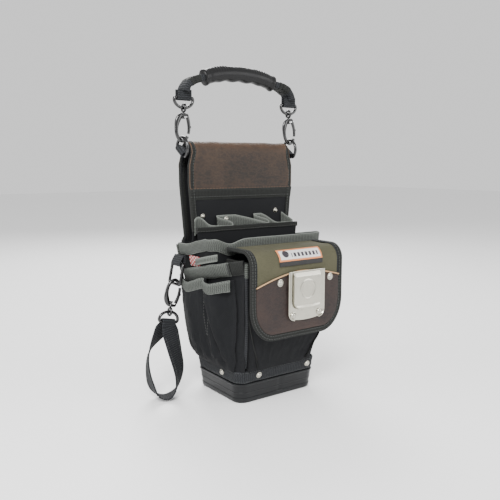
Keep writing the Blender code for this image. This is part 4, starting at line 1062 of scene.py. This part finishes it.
def build_left():
    """The upper side pocket with its webbing, and the two sleeves outside it."""
    top = [(92.5, 30), (97, 8), (95.8, -14), (92.3, -34), (86.5, -54), (79, -69), (74.5, -79)]
    foot = [(66.4, 30), (66.8, 8), (66.6, -14), (65.5, -30), (62.5, -44), (59.5, -52), (57.5, -56.5)]
    count = 96
    top, foot = spline(top, count), spline(foot, count)
    tops = np.interp(top[:, 1], (-79, 30), (189, 166))

    def panel(drop, whole=False):
        row = []
        for (x, y), (fx, fy), high in zip(top, foot, tops):
            t = drop if whole else max(drop, 0) / (high - BAND_HIGH - 1.2)
            drop_here = t * (high - BAND_HIGH - 1.2) if whole else drop
            lean = 6.5 * min(max(drop_here, 0) / 18, 1.0) * (1 - t)
            px, py, z = blend(x, fx, t ** 1.15) - lean, blend(y, fy, t), high - drop_here
            row.append((-max(px, wall_x(z, py, 3.4), meter_at(z)[0] + 2.9), py, z))
        return row
    grid = np.array([panel(t, True) for t in np.linspace(1, 0, 46)])
    leaning = grid + grid[..., 1:2] * (0, 0, 0.9)
    folds = wobble(grid, (30, 16, 46), 71) + 0.8 * wobble(leaning, (30, 60, 12), 72)
    slack = 1.6 * np.clip(folds, -0.35, 1) * fade(46, count, 0.08, 0.25, 0.05)
    grid = belly(grid + plan_sides(grid) * slack[..., None])
    cloth("left_panel", grid, 2.0, LOOKS["black_fabric"], replaced=("left_upper_pocket",))
    rows = []
    for d, o in ((17, 1.0), (15.5, 2.6), (11, 3.2), (6, 3.3), (2.5, 3.1), (0.2, 2.6), (-0.8, 1.4)):
        row = np.array(panel(d))
        rows.append(row + plan_sides(row) * o)
    band = creased(rows, 0.5, (14, 12, 9), 73)
    split = int(np.argmin(np.abs(band[3, :, 1] + 63)))
    cloth("left_panel_webbing", band[:, :split], WEBBING, LOOKS["grey_webbing"],
          replaced=("left_upper_webbing",))
    cloth("left_panel_hem", band[:, split:] + plan_sides(band[:, split:]) * -0.5, WEBBING, LOOKS["binding"])
    for k, r in enumerate((1, 5)):
        stitches("left_panel_stitches_%d" % k, band[r] + plan_sides(band[r]) * 0.15, plan_sides(band[r]),
                 LOOKS["black_thread"], thick=0.28)
    end = band[1:6, split - 2]
    sweep("left_panel_seam", end + plan_sides(band)[1:6, split - 2] * 0.2, (-1, 0, 0), (0, 1, 0),
          round_section(0.9, 10), LOOKS["black_thread"])

    # A loop of webbing inside the upper pocket's mouth
    plan = spline([(-95.5, -4), (-98.5, -14), (-98.5, -27), (-95.5, -38), (-90.5, -47), (-88.5, -43)], 60)
    inner = []
    for d, o in ((8.5, -0.4), (7.5, 0.2), (4.5, 0.4), (1.0, 0.2), (0, -0.4)):
        row = np.array([(x, y, 184.0 - 0.24 * (y + 4) - d) for x, y in plan])
        inner.append(row + plan_sides(row) * o)
    cloth("inner_loop_webbing", inner, 1.5, LOOKS["grey_webbing"])

    # Binding down the pocket's back corner, and a generic tag under the rim
    edge, away = [], []
    turn = math.radians(152)
    for z in np.linspace(197, 44, 60):
        x = -(side_x(z) + side_bulge(z, back_y(z) - 8) - 11)
        edge.append((x + 12.6 * math.cos(turn), back_y(z) - 11 + 12.6 * math.sin(turn), z))
        away.append((math.cos(turn), math.sin(turn), 0))
    edge, away = np.array(edge), np.array(away)
    edge = belly(edge + away * (0.5 * wobble(edge, (12, 12, 14), 74))[:, None])
    around = np.stack([-away[:, 1], away[:, 0], away[:, 2]], axis=1)
    sweep("left_back_binding", edge, away, around, rounded_section(2.6, 11.0, 1.1), LOOKS["grey_webbing"])
    for k, d in enumerate((-3.8, 3.8)):
        stitches("left_back_stitches_%d" % k, edge + away * 1.4 + around * d, away, LOOKS["black_thread"],
                 thick=0.28)
    tag = [[(-(wall_x(z, y, 1.2) + 3.0 + 0.6 * math.sin((z - 174) / 4)), y, z)
            for y in np.linspace(14, -7, 12)] for z in np.linspace(173, 186.5, 10)]
    cloth("side_tag", tag, 0.5, LOOKS["tag"])
    # Piping down the meter pocket's corner, where the panel's front edge is sewn
    corner = np.array([(-meter_at(z)[0] - 2.2, meter_at(z)[1] + 5.5, z) for z in np.linspace(48, 186, 40)])
    sweep("left_front_piping", corner, (-1, 0, 0), (0, 1, 0), round_section(1.9, 12), LOOKS["black_webbing"])
    sweep("left_front_tip", corner[-6:], (-1, 0, 0), (0, 1, 0), round_section(2.5, 12), LOOKS["grey_webbing"])

    tops = [(95.5, 33), (99.6, 23), (102.4, 6), (99, -10), (94.6, -21), (99, -30), (97.6, -42), (89, -55),
            (82, -62)]
    feet = [(69.5, 30), (70, 10), (70, -10), (69, -30), (65.5, -46)]
    build_sleeves("left", -1, tops, feet, -21, grid.reshape(-1, 3))
    tops = [(93, 33), (99, 24), (99.5, 13), (93, 3), (92, -1), (99, -8), (98, -20), (91, -31)]
    build_sleeves("right", 1, tops, [(67.5, 31), (68, 15), (68, 0), (68, -15), (67.5, -28)], 1)


def onto_backing(points, backing, off):
    """Where the points would lie if they rested on the cloth behind them, off away from it."""
    out = np.array(points, float)
    for place in np.ndindex(out.shape[:-1]):
        p = out[place]
        gap = (backing[:, 1] - p[1]) ** 2 + (backing[:, 2] - p[2]) ** 2
        out[place][0] = backing[np.argmin(gap)][0] + math.copysign(off, p[0])
    return out


def build_sleeves(name, sign, plan, foot, seam_y, backing=None):
    count = 110
    path, foot = spline(plan, count), spline(foot, count)
    heights = np.interp(path[:, 1], (-62, -38, -20, 5, 33), (164, 157, 163, 153, 160))
    heights = np.convolve(np.pad(heights, 6, mode="edge"), np.ones(13) / 13, mode="valid")

    def level(t):
        full = 1 - max(1 - t, 0.0) ** 1.5
        grid = foot * (1 - full) + path * full
        return np.array([(sign * x, y, (BAND_HIGH + 1.0) * (1 - t) + high * t)
                         for (x, y), high in zip(grid, heights)])
    grid = np.array([level(t) for t in np.linspace(0, 1, 44)])
    outwards = plan_sides(grid) * -sign
    lean = grid + grid[..., 1:2] * (0, 0, 0.8)
    folds = np.abs(wobble(lean, (40, 14, 20), 81 + sign)) + 0.5 * wobble(grid, (30, 9, 60), 85 + sign)
    gather = np.exp(-((grid[..., 2] - 62) / 22) ** 2)
    amount = (1.8 + 3.4 * gather) * np.clip(folds, -0.3, 1.3) * fade(44, count, 0.06, 0.2, 0.04)
    pinch = np.exp(-((grid[..., 1] - seam_y) / 3.0) ** 2) * np.clip((grid[..., 2] - 60) / 50, 0, 1)
    if backing is not None:
        # Long folds that run down and forward from the pinch, where the sleeves bunch over the band
        off = grid[..., 1] - np.interp(grid[..., 2], (48, 150), (seam_y - 13, seam_y))
        ridges = 3.0 * np.exp(-((off + 7.5) / 3.8) ** 2) + 2.6 * np.exp(-((off - 8) / 4.2) ** 2)
        low = np.clip((148 - grid[..., 2]) / 50, 0, 1) * np.clip((grid[..., 2] - 43) / 14, 0, 1)
        amount = amount * (1 - 0.5 * low) + (ridges - 2.2 * np.exp(-(off / 2.4) ** 2)) * low
    grid = belly(grid + outwards * (amount * (1 - pinch) - 2.2 * pinch)[..., None])
    if backing is not None:
        settle = np.clip((np.linspace(0, 1, count) - 0.74) / 0.22, 0, 1)
        settle = (settle * settle * (3 - 2 * settle))[None, :, None]
        resting = grid.copy()
        resting[:, 78:] = onto_backing(grid[:, 78:], backing, 2.6)
        grid = grid + (resting - grid) * settle
    cloth(name + "_sleeve_fabric", grid, 1.8, LOOKS["black_fabric"], replaced=(name + "_sleeves",),
          flip=sign > 0)
    upper = np.array([level(t) for t in (0.885, 0.90, 0.93, 0.96, 0.985, 1.0, 1.008)])
    away = plan_sides(upper) * -sign
    out = np.array((0.7, 1.6, 2.0, 2.0, 2.0, 1.7, 0.9))[:, None, None]
    band = belly(upper) + away * out
    band = band + away * (0.4 * wobble(band, (14, 10, 9), 88))[..., None]
    cloth(name + "_sleeve_binding", band, WEBBING, LOOKS["grey_webbing"],
          replaced=(name + "_sleeve_webbing",), flip=sign > 0)
    for k, r in enumerate((1, 5)):
        stitches("%s_sleeve_stitches_%d" % (name, k), band[r] + away[r] * 0.15, away[r],
                 LOOKS["black_thread"], thick=0.28)
    # Two upright rows of stitches in the pinch between the sleeves
    at = int(np.argmin(np.abs(grid[-1, :, 1] - seam_y)))
    for k, step in enumerate((-2, 2)):
        line = grid[16:42, at + step] + outwards[16:42, at + step] * 0.2
        stitches("%s_sleeve_seam_%d" % (name, k), line, outwards[16:42, at + step], LOOKS["grey_thread"],
                 thick=0.28)


# Rings, hooks and handle, on the frame's own centre lines

RING_X, RING_Y, RING_Z = 88.0, 38.2, 322.0
RING_TILT = math.radians(34)
RING_R, RING_WIRE, RING_LEG, UPPER_DEEP = 13.5, 2.0, 5.0, 10.5
HOOK_PATH = [(-2.6, 28.2), (-5.6, 24.6), (-8.2, 18.6), (-9.0, 11.5), (-8.2, 4.2), (-5.2, -2.0), (0, -4.9),
             (4.8, -2.6), (7.4, 1.2)]
GATE_PATH = [(8.7, 4.6), (9.2, 10.5), (8.3, 18.0), (6.0, 25.6)]
EYE_UP = 36.5
GRIP_TOP = 430.0


def wire_ring(name, path, normal, wire, body, node):
    path = spline(path, 90, True)
    sweep(name, path, path_sides(path, normal, True), normal, round_section(wire, 14), LOOKS["black_metal"],
          body, (node,), True)


def d_ring(name, arc_centre, across, out, deep, leg, body, node):
    across, out = np.array(across, float), np.array(out, float)
    corner = 2.5
    path = [x * across + y * deep / RING_R * out for x, y in arc((0, 0), RING_R, 0, 180, 13)]
    path += [-RING_R * across - (leg - corner) * out, (-RING_R + 0.8) * across - (leg - 0.7) * out,
             (-RING_R + corner) * across - leg * out, -leg * out, (RING_R - corner) * across - leg * out,
             (RING_R - 0.8) * across - (leg - 0.7) * out, RING_R * across - (leg - corner) * out]
    wire_ring(name, np.array(path) + np.array(arc_centre, float), np.cross(across, out), RING_WIRE, body,
              node)


def snap_hook(prefix, mouth, up, wide, bodies):
    up, wide, mouth = np.array(up, float), np.array(wide, float), np.array(mouth, float)
    thick = np.cross(wide, up)
    hook_body, gate_body, eye_body = bodies

    def place(points):
        return np.array([mouth + w * wide + h * up for w, h in points])
    spine = place(spline(HOOK_PATH, 70))
    t = np.linspace(0, 1, 70)
    size = 2.3 - 0.5 * np.exp(-t / 0.06) - 0.35 * np.clip((t - 0.93) / 0.07, 0, 1)
    web = 1.5 * np.exp(-((t - 0.17) / 0.17) ** 2)
    shapes = [[((r + w) * a / r, b) for a, b in round_section(r, 16, 0.96)] for r, w in zip(size, web)]
    sweep(prefix + "_hook_bow", spine, path_sides(spine, thick), thick, shapes, LOOKS["black_metal"],
          hook_body, (prefix + "_hook_body",))
    tip = place([HOOK_PATH[-1]])[0]
    bulb = [(0.2, -1.8), (1.5, -1.2), (1.95, 0), (1.5, 1.2), (0.2, 1.8)]
    turned(prefix + "_hook_nose", tip - up * 1.0, unit(up + 0.3 * wide), bulb, LOOKS["black_metal"],
           hook_body)
    collar = [(1.45, 26.2), (3.2, 26.2), (3.7, 26.8), (3.75, 27.6), (3.45, 28.0), (3.7, 28.5), (3.5, 29.6),
              (3.1, 30.0), (1.45, 30.0)]
    turned(prefix + "_hook_collar", mouth, up, collar, LOOKS["black_metal"], hook_body)
    lug = place([(1.8, 28.3), (5.4, 28.5), (6.9, 27.2)])
    sweep(prefix + "_hook_lug", spline(lug, 14), np.array(up), thick, round_section(1.8, 12),
          LOOKS["black_metal"], hook_body)
    gate = place(spline(GATE_PATH, 30))
    lever = [[(a * (1 + k), b) for a, b in round_section(1.75, 14)] for k in np.linspace(0.05, 0.45, 30)]
    sweep(prefix + "_gate_lever", gate, path_sides(gate, thick), thick, lever, LOOKS["black_metal"],
          gate_body, (prefix + "_hook_gate",))
    knob = place([(10.6, 13.5)])[0]
    turned(prefix + "_gate_thumb", knob, wide, [(0.2, -1.6), (1.9, -1.4), (1.9, 0.2), (1.4, 0.9), (0.2, 1.1)],
           LOOKS["black_metal"], gate_body)
    middle = mouth + EYE_UP * up
    loop = [middle + 4.6 * (math.cos(a) * thick + math.sin(a) * up)
            for a in np.linspace(0, 2 * math.pi, 44)[:-1]]
    sweep(prefix + "_eye_ring", loop, path_sides(loop, wide, True), wide, round_section(1.6, 14),
          LOOKS["black_metal"], eye_body, (prefix + "_hook_eye",), True)
    turned(prefix + "_eye_stem", mouth, up, [(0.3, 22.6), (2.1, 22.7), (2.3, 23.2), (2.3, 24.4), (1.25, 24.7),
                                             (1.25, 31.0), (1.7, 31.4), (1.7, 32.2), (0.3, 32.2)],
           LOOKS["black_metal"], eye_body)


def build_handle():
    slope, fall = math.cos(RING_TILT), math.sin(RING_TILT)
    bar, out = np.array((0, -slope, -fall)), np.array((0, -fall, slope))
    for side, sign in (("left", -1), ("right", 1)):
        centre = np.array((sign * RING_X, RING_Y, RING_Z))
        bar_middle = centre - RING_LEG * out
        d_ring(side + "_lower_wire", centre, bar, out, RING_R, RING_LEG, side + "_lower_ring",
               side + "_lower_ring")
        run = [(-26, -1.3), (-9, -1.5)] + arc((0, 0), 3.6, -80, 80, 15) + [(-9, 1.5), (-26, 1.3)]
        line = np.array([bar_middle + sign * w * np.array((1.0, 0, 0)) + h * out for w, h in run])
        last = len(run) - 1
        wide = np.interp(range(len(run)), (0, 1, 2, last - 2, last - 1, last), (13, 13, 19, 19, 13, 13))
        sweep(side + "_tab_fold", line, path_sides(line, bar), bar,
              [rounded_section(1.8, w, 0.8) for w in wide], LOOKS["black_webbing"], "bag",
              (side + "_ring_tab",))
        mouth = np.array((sign * RING_X, RING_Y, RING_Z + RING_R))
        lean = math.radians(4.5)
        up = np.array((-sign * math.sin(lean), 0, math.cos(lean)))
        wide = np.array((math.cos(lean), 0, sign * math.sin(lean)))
        snap_hook(side, mouth, up, wide, (side + "_hook", side + "_gate", side + "_swing"))
        arc_centre = mouth + up * EYE_UP + np.array((0, 0, UPPER_DEEP))
        d_ring(side + "_upper_wire", arc_centre, (1.0, 0, 0), (0, 0, -1.0), UPPER_DEEP, 2.5,
               side + "_upper_ring", side + "_upper_ring")
        end = arc_centre + np.array((0, 0, 2.5))
    end_x, end_z = end[0], end[2]

    # Webbing: an arch of doubled webbing, twisted and sewn, whose ends fold round the upper rings' bars
    arch = [(end_x, end_z + 7.5), (end_x - 3, end_z + 15), (end_x - 12, end_z + 21.5),
            (end_x - 28, end_z + 26.5), (end_x - 52, end_z + 32.5), (0, GRIP_TOP - 10)]
    arch = [(-x, z) for x, z in arch] + [(x, z) for x, z in reversed(arch[:-1])]
    path = np.array([(x, RING_Y, z) for x, z in spline(arch, 150)])
    side_way = path_sides(path, (0, 1, 0))
    far = np.abs(path[:, 0])
    wide = np.interp(far, (40, 60, 74, 86), (11, 15, 21, 23))
    bulge = 1 + 0.09 * np.sin(far / 1.35) * np.clip((far - 56) / 4, 0, 1)
    shapes = [rounded_section(8.4 * b, w, 2.6) for w, b in zip(wide, bulge)]
    sweep("handle_strap", path, side_way, (0, 1, 0), shapes, LOOKS["black_webbing"], "grip",
          ("handle_webbing",))
    for k, sign in enumerate((-1, 1)):
        run = [(-3.1, 9.5), (-3.1, 4)] + arc((0, 0), 3.2, 180, 360, 17) + [(3.1, 4), (3.1, 9.5)]
        line = np.array([(sign * end_x, RING_Y + y, end_z + z) for y, z in run])
        sweep("handle_fold_%d" % k, line, path_sides(line, (1, 0, 0)), (1, 0, 0),
              rounded_section(1.7, 20.0, 0.8), LOOKS["black_webbing"], "grip")
        # Wrapped band of thread round each end of the handle's webbing
        for j, at in enumerate((66.0, 71.5, 77.0)):
            i = int(np.argmin(np.abs(path[:, 0] - sign * at)))
            box = rounded_section(9.9, wide[i] + 1.4, 3.0)
            line = path[i - 2:i + 3]
            sweep("handle_wrap_%d_%d" % (k, j), line, side_way[i - 2:i + 3], (0, 1, 0), box,
                  LOOKS["binding"], "grip")

    # Rubber grip: flared collars at its ends, ribbed patches on its top and finger waves underneath
    inside = np.where(far < 57)[0]
    fine = spline(path[inside], 240)
    outwards = path_sides(fine, (0, 1, 0))
    if outwards[120][2] < 0:
        outwards = -outwards
    run = lengths(fine)
    whole = run[-1]
    grid = []
    for p, o, s in zip(fine, outwards, run):
        end_gap = min(s, whole - s)
        swell = 1.06 + 0.05 * math.exp(-((end_gap - 2.5) / 2.4) ** 2)
        swell -= 0.05 * math.exp(-((end_gap - 8.0) / 2.5) ** 2)
        swell *= 0.9 + 0.1 * min(1.0, end_gap / 1.0)
        place = s / whole
        patch = max(math.exp(-((place - 0.24) / 0.10) ** 6), math.exp(-((place - 0.76) / 0.10) ** 6))
        ribs = 1.2 * patch * (0.5 + 0.5 * math.cos(2 * math.pi * s / 4.0))
        ring = []
        for a in np.linspace(0, 2 * math.pi, 48, endpoint=False):
            c, d = math.cos(a), math.sin(a)
            top = max(0.0, c)
            oval = math.hypot((s - whole / 2) / 12.0, a if a < math.pi else a - 2 * math.pi)
            groove = 0.45 * math.exp(-((oval - 0.9) / 0.10) ** 2)
            under = max(0.0, -c) ** 2 * 1.0 * math.cos(2 * math.pi * (s - whole / 2) / 22.0)
            edge_line = 0.35 * math.exp(-((abs(d) - 0.86) / 0.05) ** 2) * (0.5 if c > 0 else 1.0)
            out = 9.5 * swell + ribs * top ** 0.5 * 1.2 - groove - 0.6 * patch - under * 0.6 - edge_line
            depth = 8.5 * swell - edge_line
            ring.append(p + out * c * o + depth * d * np.array((0, 1, 0)))
        grid.append(ring)
    grid = np.array(grid)
    faces, corners = grid_faces(240, 48, True)
    uvs = [(run[r], c * 1.15) for r, c in corners]
    for start, order in ((0, range(47, -1, -1)), (239 * 48, range(48))):
        faces.append([start + k for k in order])
        uvs += [(0, 0)] * 48
    points = grid.reshape(-1, 3)
    make("grip_rubber", points, *outward(points, faces, uvs), LOOKS["rubber"], "grip", None,
         ("handle_grip",), None, 50)


def build_strap():
    lean = math.radians(12.0)
    down = np.array((-math.sin(lean), 0, -math.cos(lean)))
    wide = np.array((math.cos(lean), 0, -math.sin(lean)))
    across = np.array((0, 1.0, 0))
    top = np.array((-102.5, 28.0, 175.5))
    run = [(5.0, 10.2), (4.0, 3.0)] + arc((0, 0), 3.6, 0, -180, 17) + [(-1.2, 5.0), (2.4, 10.2)]
    line = np.array([top + np.array((x, 0, z)) for x, z in run])
    sweep("strap_tab_fold", line, path_sides(line, across), across, rounded_section(1.5, 23.0, 0.7),
          LOOKS["black_webbing"], "bag", ("strap_tab",))
    length, half = 27.0, 14.0
    shape = rounded_section(2 * half, length, 3.0)
    path = np.array([top + x * across + (length / 2 - y) * down for x, y in shape])
    path = resample(np.concatenate([path, path[:1]]), 91)[:-1]
    sweep("strap_top_wire", path, path_sides(path, wide, True), wide, round_section(RING_WIRE, 14),
          LOOKS["black_metal"], "strap_ring", ("strap_upper_ring",), True)
    mouth = top + down * length
    snap_hook("strap", mouth, down, wide, ("strap_hook", "strap_gate", "strap_eye"))
    arc_centre = mouth + down * (EYE_UP + UPPER_DEEP)
    d_ring("strap_low_wire", arc_centre, wide, -down, UPPER_DEEP, 2.5, "strap_lower_ring", "strap_lower_ring")
    bar = arc_centre + down * 2.5
    x, y, z = bar
    reach = 3.2
    over = [bar + c * across - s * down for c, s in arc((0, 0), reach, 0, 180, 13)]
    route = [(x - 0.5, y - reach - 0.2, z - 5), (x + 0.8, y - reach - 0.6, z - 12), (x + 6, y - 6, 62),
             (x + 10, y - 9, 34), (x + 5, y - 9, 12), (x - 8, y - 5, 2.6), (x - 22, y, 12),
             (x - 28, y + 3, 38), (x - 25, y + 4.5, 64), (x - 9, y + reach + 1.6, z - 13),
             (x - 1.5, y + reach + 0.2, z - 5)]
    n = 150
    path = np.array(over + list(spline(route, n)))
    twist = np.interp(np.linspace(0, 1, n), (0, 0.25, 0.48, 0.6, 0.82, 1), (0, 25, 75, 90, 60, 0))
    turn = np.concatenate([np.zeros(13), np.radians(twist)])
    kernel = np.ones(9) / 9
    turn = np.convolve(np.concatenate([turn[-4:], turn, turn[:4]]), kernel, mode="valid")
    along = unit(np.roll(path, -1, axis=0) - np.roll(path, 1, axis=0))
    flat = np.cos(turn)[:, None] * wide + np.sin(turn)[:, None] * across
    flat = unit(flat - along * np.sum(flat * along, axis=1)[:, None])
    far = np.linalg.norm(path - bar, axis=1)
    shapes = []
    for w, s in zip(np.interp(far, (4, 14), (19.0, 24.4)), np.arange(len(path))):
        shapes.append([(b, a) for a, b in strip_section(w, 1.8, 0.18 * math.sin(s / 2.1))])
    sweep("strap_loop_webbing", path, flat, np.cross(along, flat), shapes, LOOKS["black_webbing"],
          "strap_loop", ("strap_webbing",), True)
    for k, sign in enumerate((-1, 1)):
        rows = [path[i] + flat[i] * sign * 9.0 + np.cross(along[i], flat[i]) * 1.1 for i in range(22, 135)]
        outs = [np.cross(along[i], flat[i]) for i in range(22, 135)]
        stitches("strap_stitches_%d" % k, rows, outs, LOOKS["grey_thread"], "strap_loop", thick=0.26)


def build_belt_loop():
    y = BELT_BOX[0][1] + 1.3
    run = [(y, 205), (y, 212), (y + 3.5, 217), (y + 8, 221), (y + 9, 226), (y + 9, 269), (y + 8, 274),
           (y + 3.5, 278), (y, 283), (y, 290)]
    line = spline([(0, py, pz) for py, pz in run], 90)
    side = path_sides(line, (1, 0, 0))
    sweep("belt_webbing", line, side, (1, 0, 0), rounded_section(2.6, 70, 1.1), LOOKS["black_webbing"], "bag",
          ("belt_loop",))
    for k, z in enumerate((207.5, 211, 284, 288)):
        row = np.array([(x, y + 1.4, z) for x in np.linspace(-32, 32, 12)])
        stitches("belt_stitches_%d" % k, row, (0, 1, 0), LOOKS["grey_thread"], thick=0.35)


def build_rivets():
    """Domed rivets where the frame has them, and the two that hold the back of the band."""
    mid = (BAND_LOW + BAND_HIGH) / 2
    lean = math.atan(BASE_FLARE / BASE_HEIGHT)
    out_x = BASE_X - TRAY_WALL + flare(mid) + 2.3 + GAP
    out_y = BASE_Y - TRAY_WALL + flare(mid) + 2.3 + GAP
    front, side = (0, -math.cos(lean), -math.sin(lean)), (math.cos(lean), 0, -math.sin(lean))
    plate, tongue = FLAP_FRONT - 1.9, CLIP_BOX[0][1] - GAP
    rivets = [("base_rivet_front_left", (-32, -out_y, mid), front, 4.2, "bag"),
              ("base_rivet_front_right", (48, -out_y, mid), front, 4.2, "bag"),
              ("base_rivet_left", (-out_x, -15, mid), (-side[0], 0, side[2]), 4.2, "bag"),
              ("base_rivet_right", (out_x, -15, mid), side, 4.2, "bag"),
              (None, (-40, out_y, mid), (0, 1, -0.1), 4.2, "bag"),
              (None, (40, out_y, mid), (0, 1, -0.1), 4.2, "bag"),
              ("loop_rivet_1", (-64, HOOD_FRONT - GAP, 233.5), (0, -1, 0), 3.4, "bag"),
              ("loop_rivet_2", (-29, 26.9, 228.5), (0, -1, 0), 3.4, "bag"),
              ("loop_rivet_3", (56, HOOD_FRONT - GAP, 236.5), (0, -1, 0), 3.4, "bag"),
              ("clip_rivet_left", (-11, tongue, 117.5), (0, -1, 0), 4.6, "flap"),
              ("clip_rivet_right", (31, tongue, 117.5), (0, -1, 0), 4.6, "flap"),
              ("flap_rivet_left", (-30, plate, 160), (0, -1, 0), 4.6, "flap"),
              ("flap_rivet_right", (50, plate, 160), (0, -1, 0), 4.6, "flap")]
    for k, (node, foot, normal, radius, body) in enumerate(rivets):
        r = radius
        profile = [(r * 0.98, -0.4), (r, 0.25), (r * 0.97, 0.55), (r * 0.80, 0.75), (r * 0.74, 1.0),
                   (r * 0.70, 1.5), (r * 0.55, 2.05), (r * 0.32, 2.38), (0.05, 2.5)]
        turned("rivet_%02d" % k, foot, normal, profile, LOOKS["nickel"], body, (node,) if node else (), 32,
               50)


def plain_closures():
    """The two closure strips keep the frame's shape, in the look of black thread."""
    for node in ("pocket_closure_strip", "flap_closure_strip"):
        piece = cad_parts[node]
        piece.data.materials.clear()
        piece.data.materials.append(LOOKS["black_thread"])


def build_studio():
    scene = bpy.context.scene
    floor_mesh = bpy.data.meshes.new("floor")
    size = 6.0
    floor_mesh.from_pydata([(-size, -size, 0), (size, -size, 0), (size, size, 0), (-size, size, 0)], [],
                           [(0, 1, 2, 3)])
    floor_look = bpy.data.materials.new("floor")
    floor_look.use_nodes = True
    floor_look.node_tree.nodes["Principled BSDF"].inputs["Base Color"].default_value = (0.9, 0.9, 0.9, 1)
    floor_look.node_tree.nodes["Principled BSDF"].inputs["Roughness"].default_value = 0.6
    floor_mesh.materials.append(floor_look)
    floor = bpy.data.objects.new("floor", floor_mesh)
    floor.location.z = -0.0002
    scene.collection.objects.link(floor)
    world = bpy.data.worlds.new("studio")
    world.use_nodes = True
    world.node_tree.nodes["Background"].inputs[0].default_value = (1, 1, 1, 1)
    world.node_tree.nodes["Background"].inputs[1].default_value = 1.0
    scene.world = world
    for name, place, size, power in (("key", (-0.9, -1.0, 1.3), 0.6, 44), ("fill", (1.0, -1.2, 0.7), 0.9, 12),
                                     ("rim", (0.5, 1.2, 1.2), 0.8, 26), ("side", (-1.4, 0.2, 0.6), 0.5, 8)):
        lamp = bpy.data.lights.new(name, "AREA")
        lamp.size = size
        lamp.energy = power
        light = bpy.data.objects.new(name, lamp)
        light.location = place
        light.rotation_euler = (Vector((0, 0, 0.2)) - Vector(place)).to_track_quat("-Z", "Y").to_euler()
        scene.collection.objects.link(light)
    lens = bpy.data.cameras.new("camera")
    lens.lens, lens.sensor_width = 44.06, 36
    camera = bpy.data.objects.new("camera", lens)
    camera.location = (-0.47685, -0.65835, 0.300)
    camera.rotation_euler = (math.radians(90 - 7.9), 0, math.radians(-35.4))
    scene.collection.objects.link(camera)
    scene.camera = camera


build_base()
build_pocket()
build_hood()
build_meter_pocket()
build_flap()
build_left()
build_handle()
build_strap()
build_belt_loop()
build_rivets()
plain_closures()
build_studio()
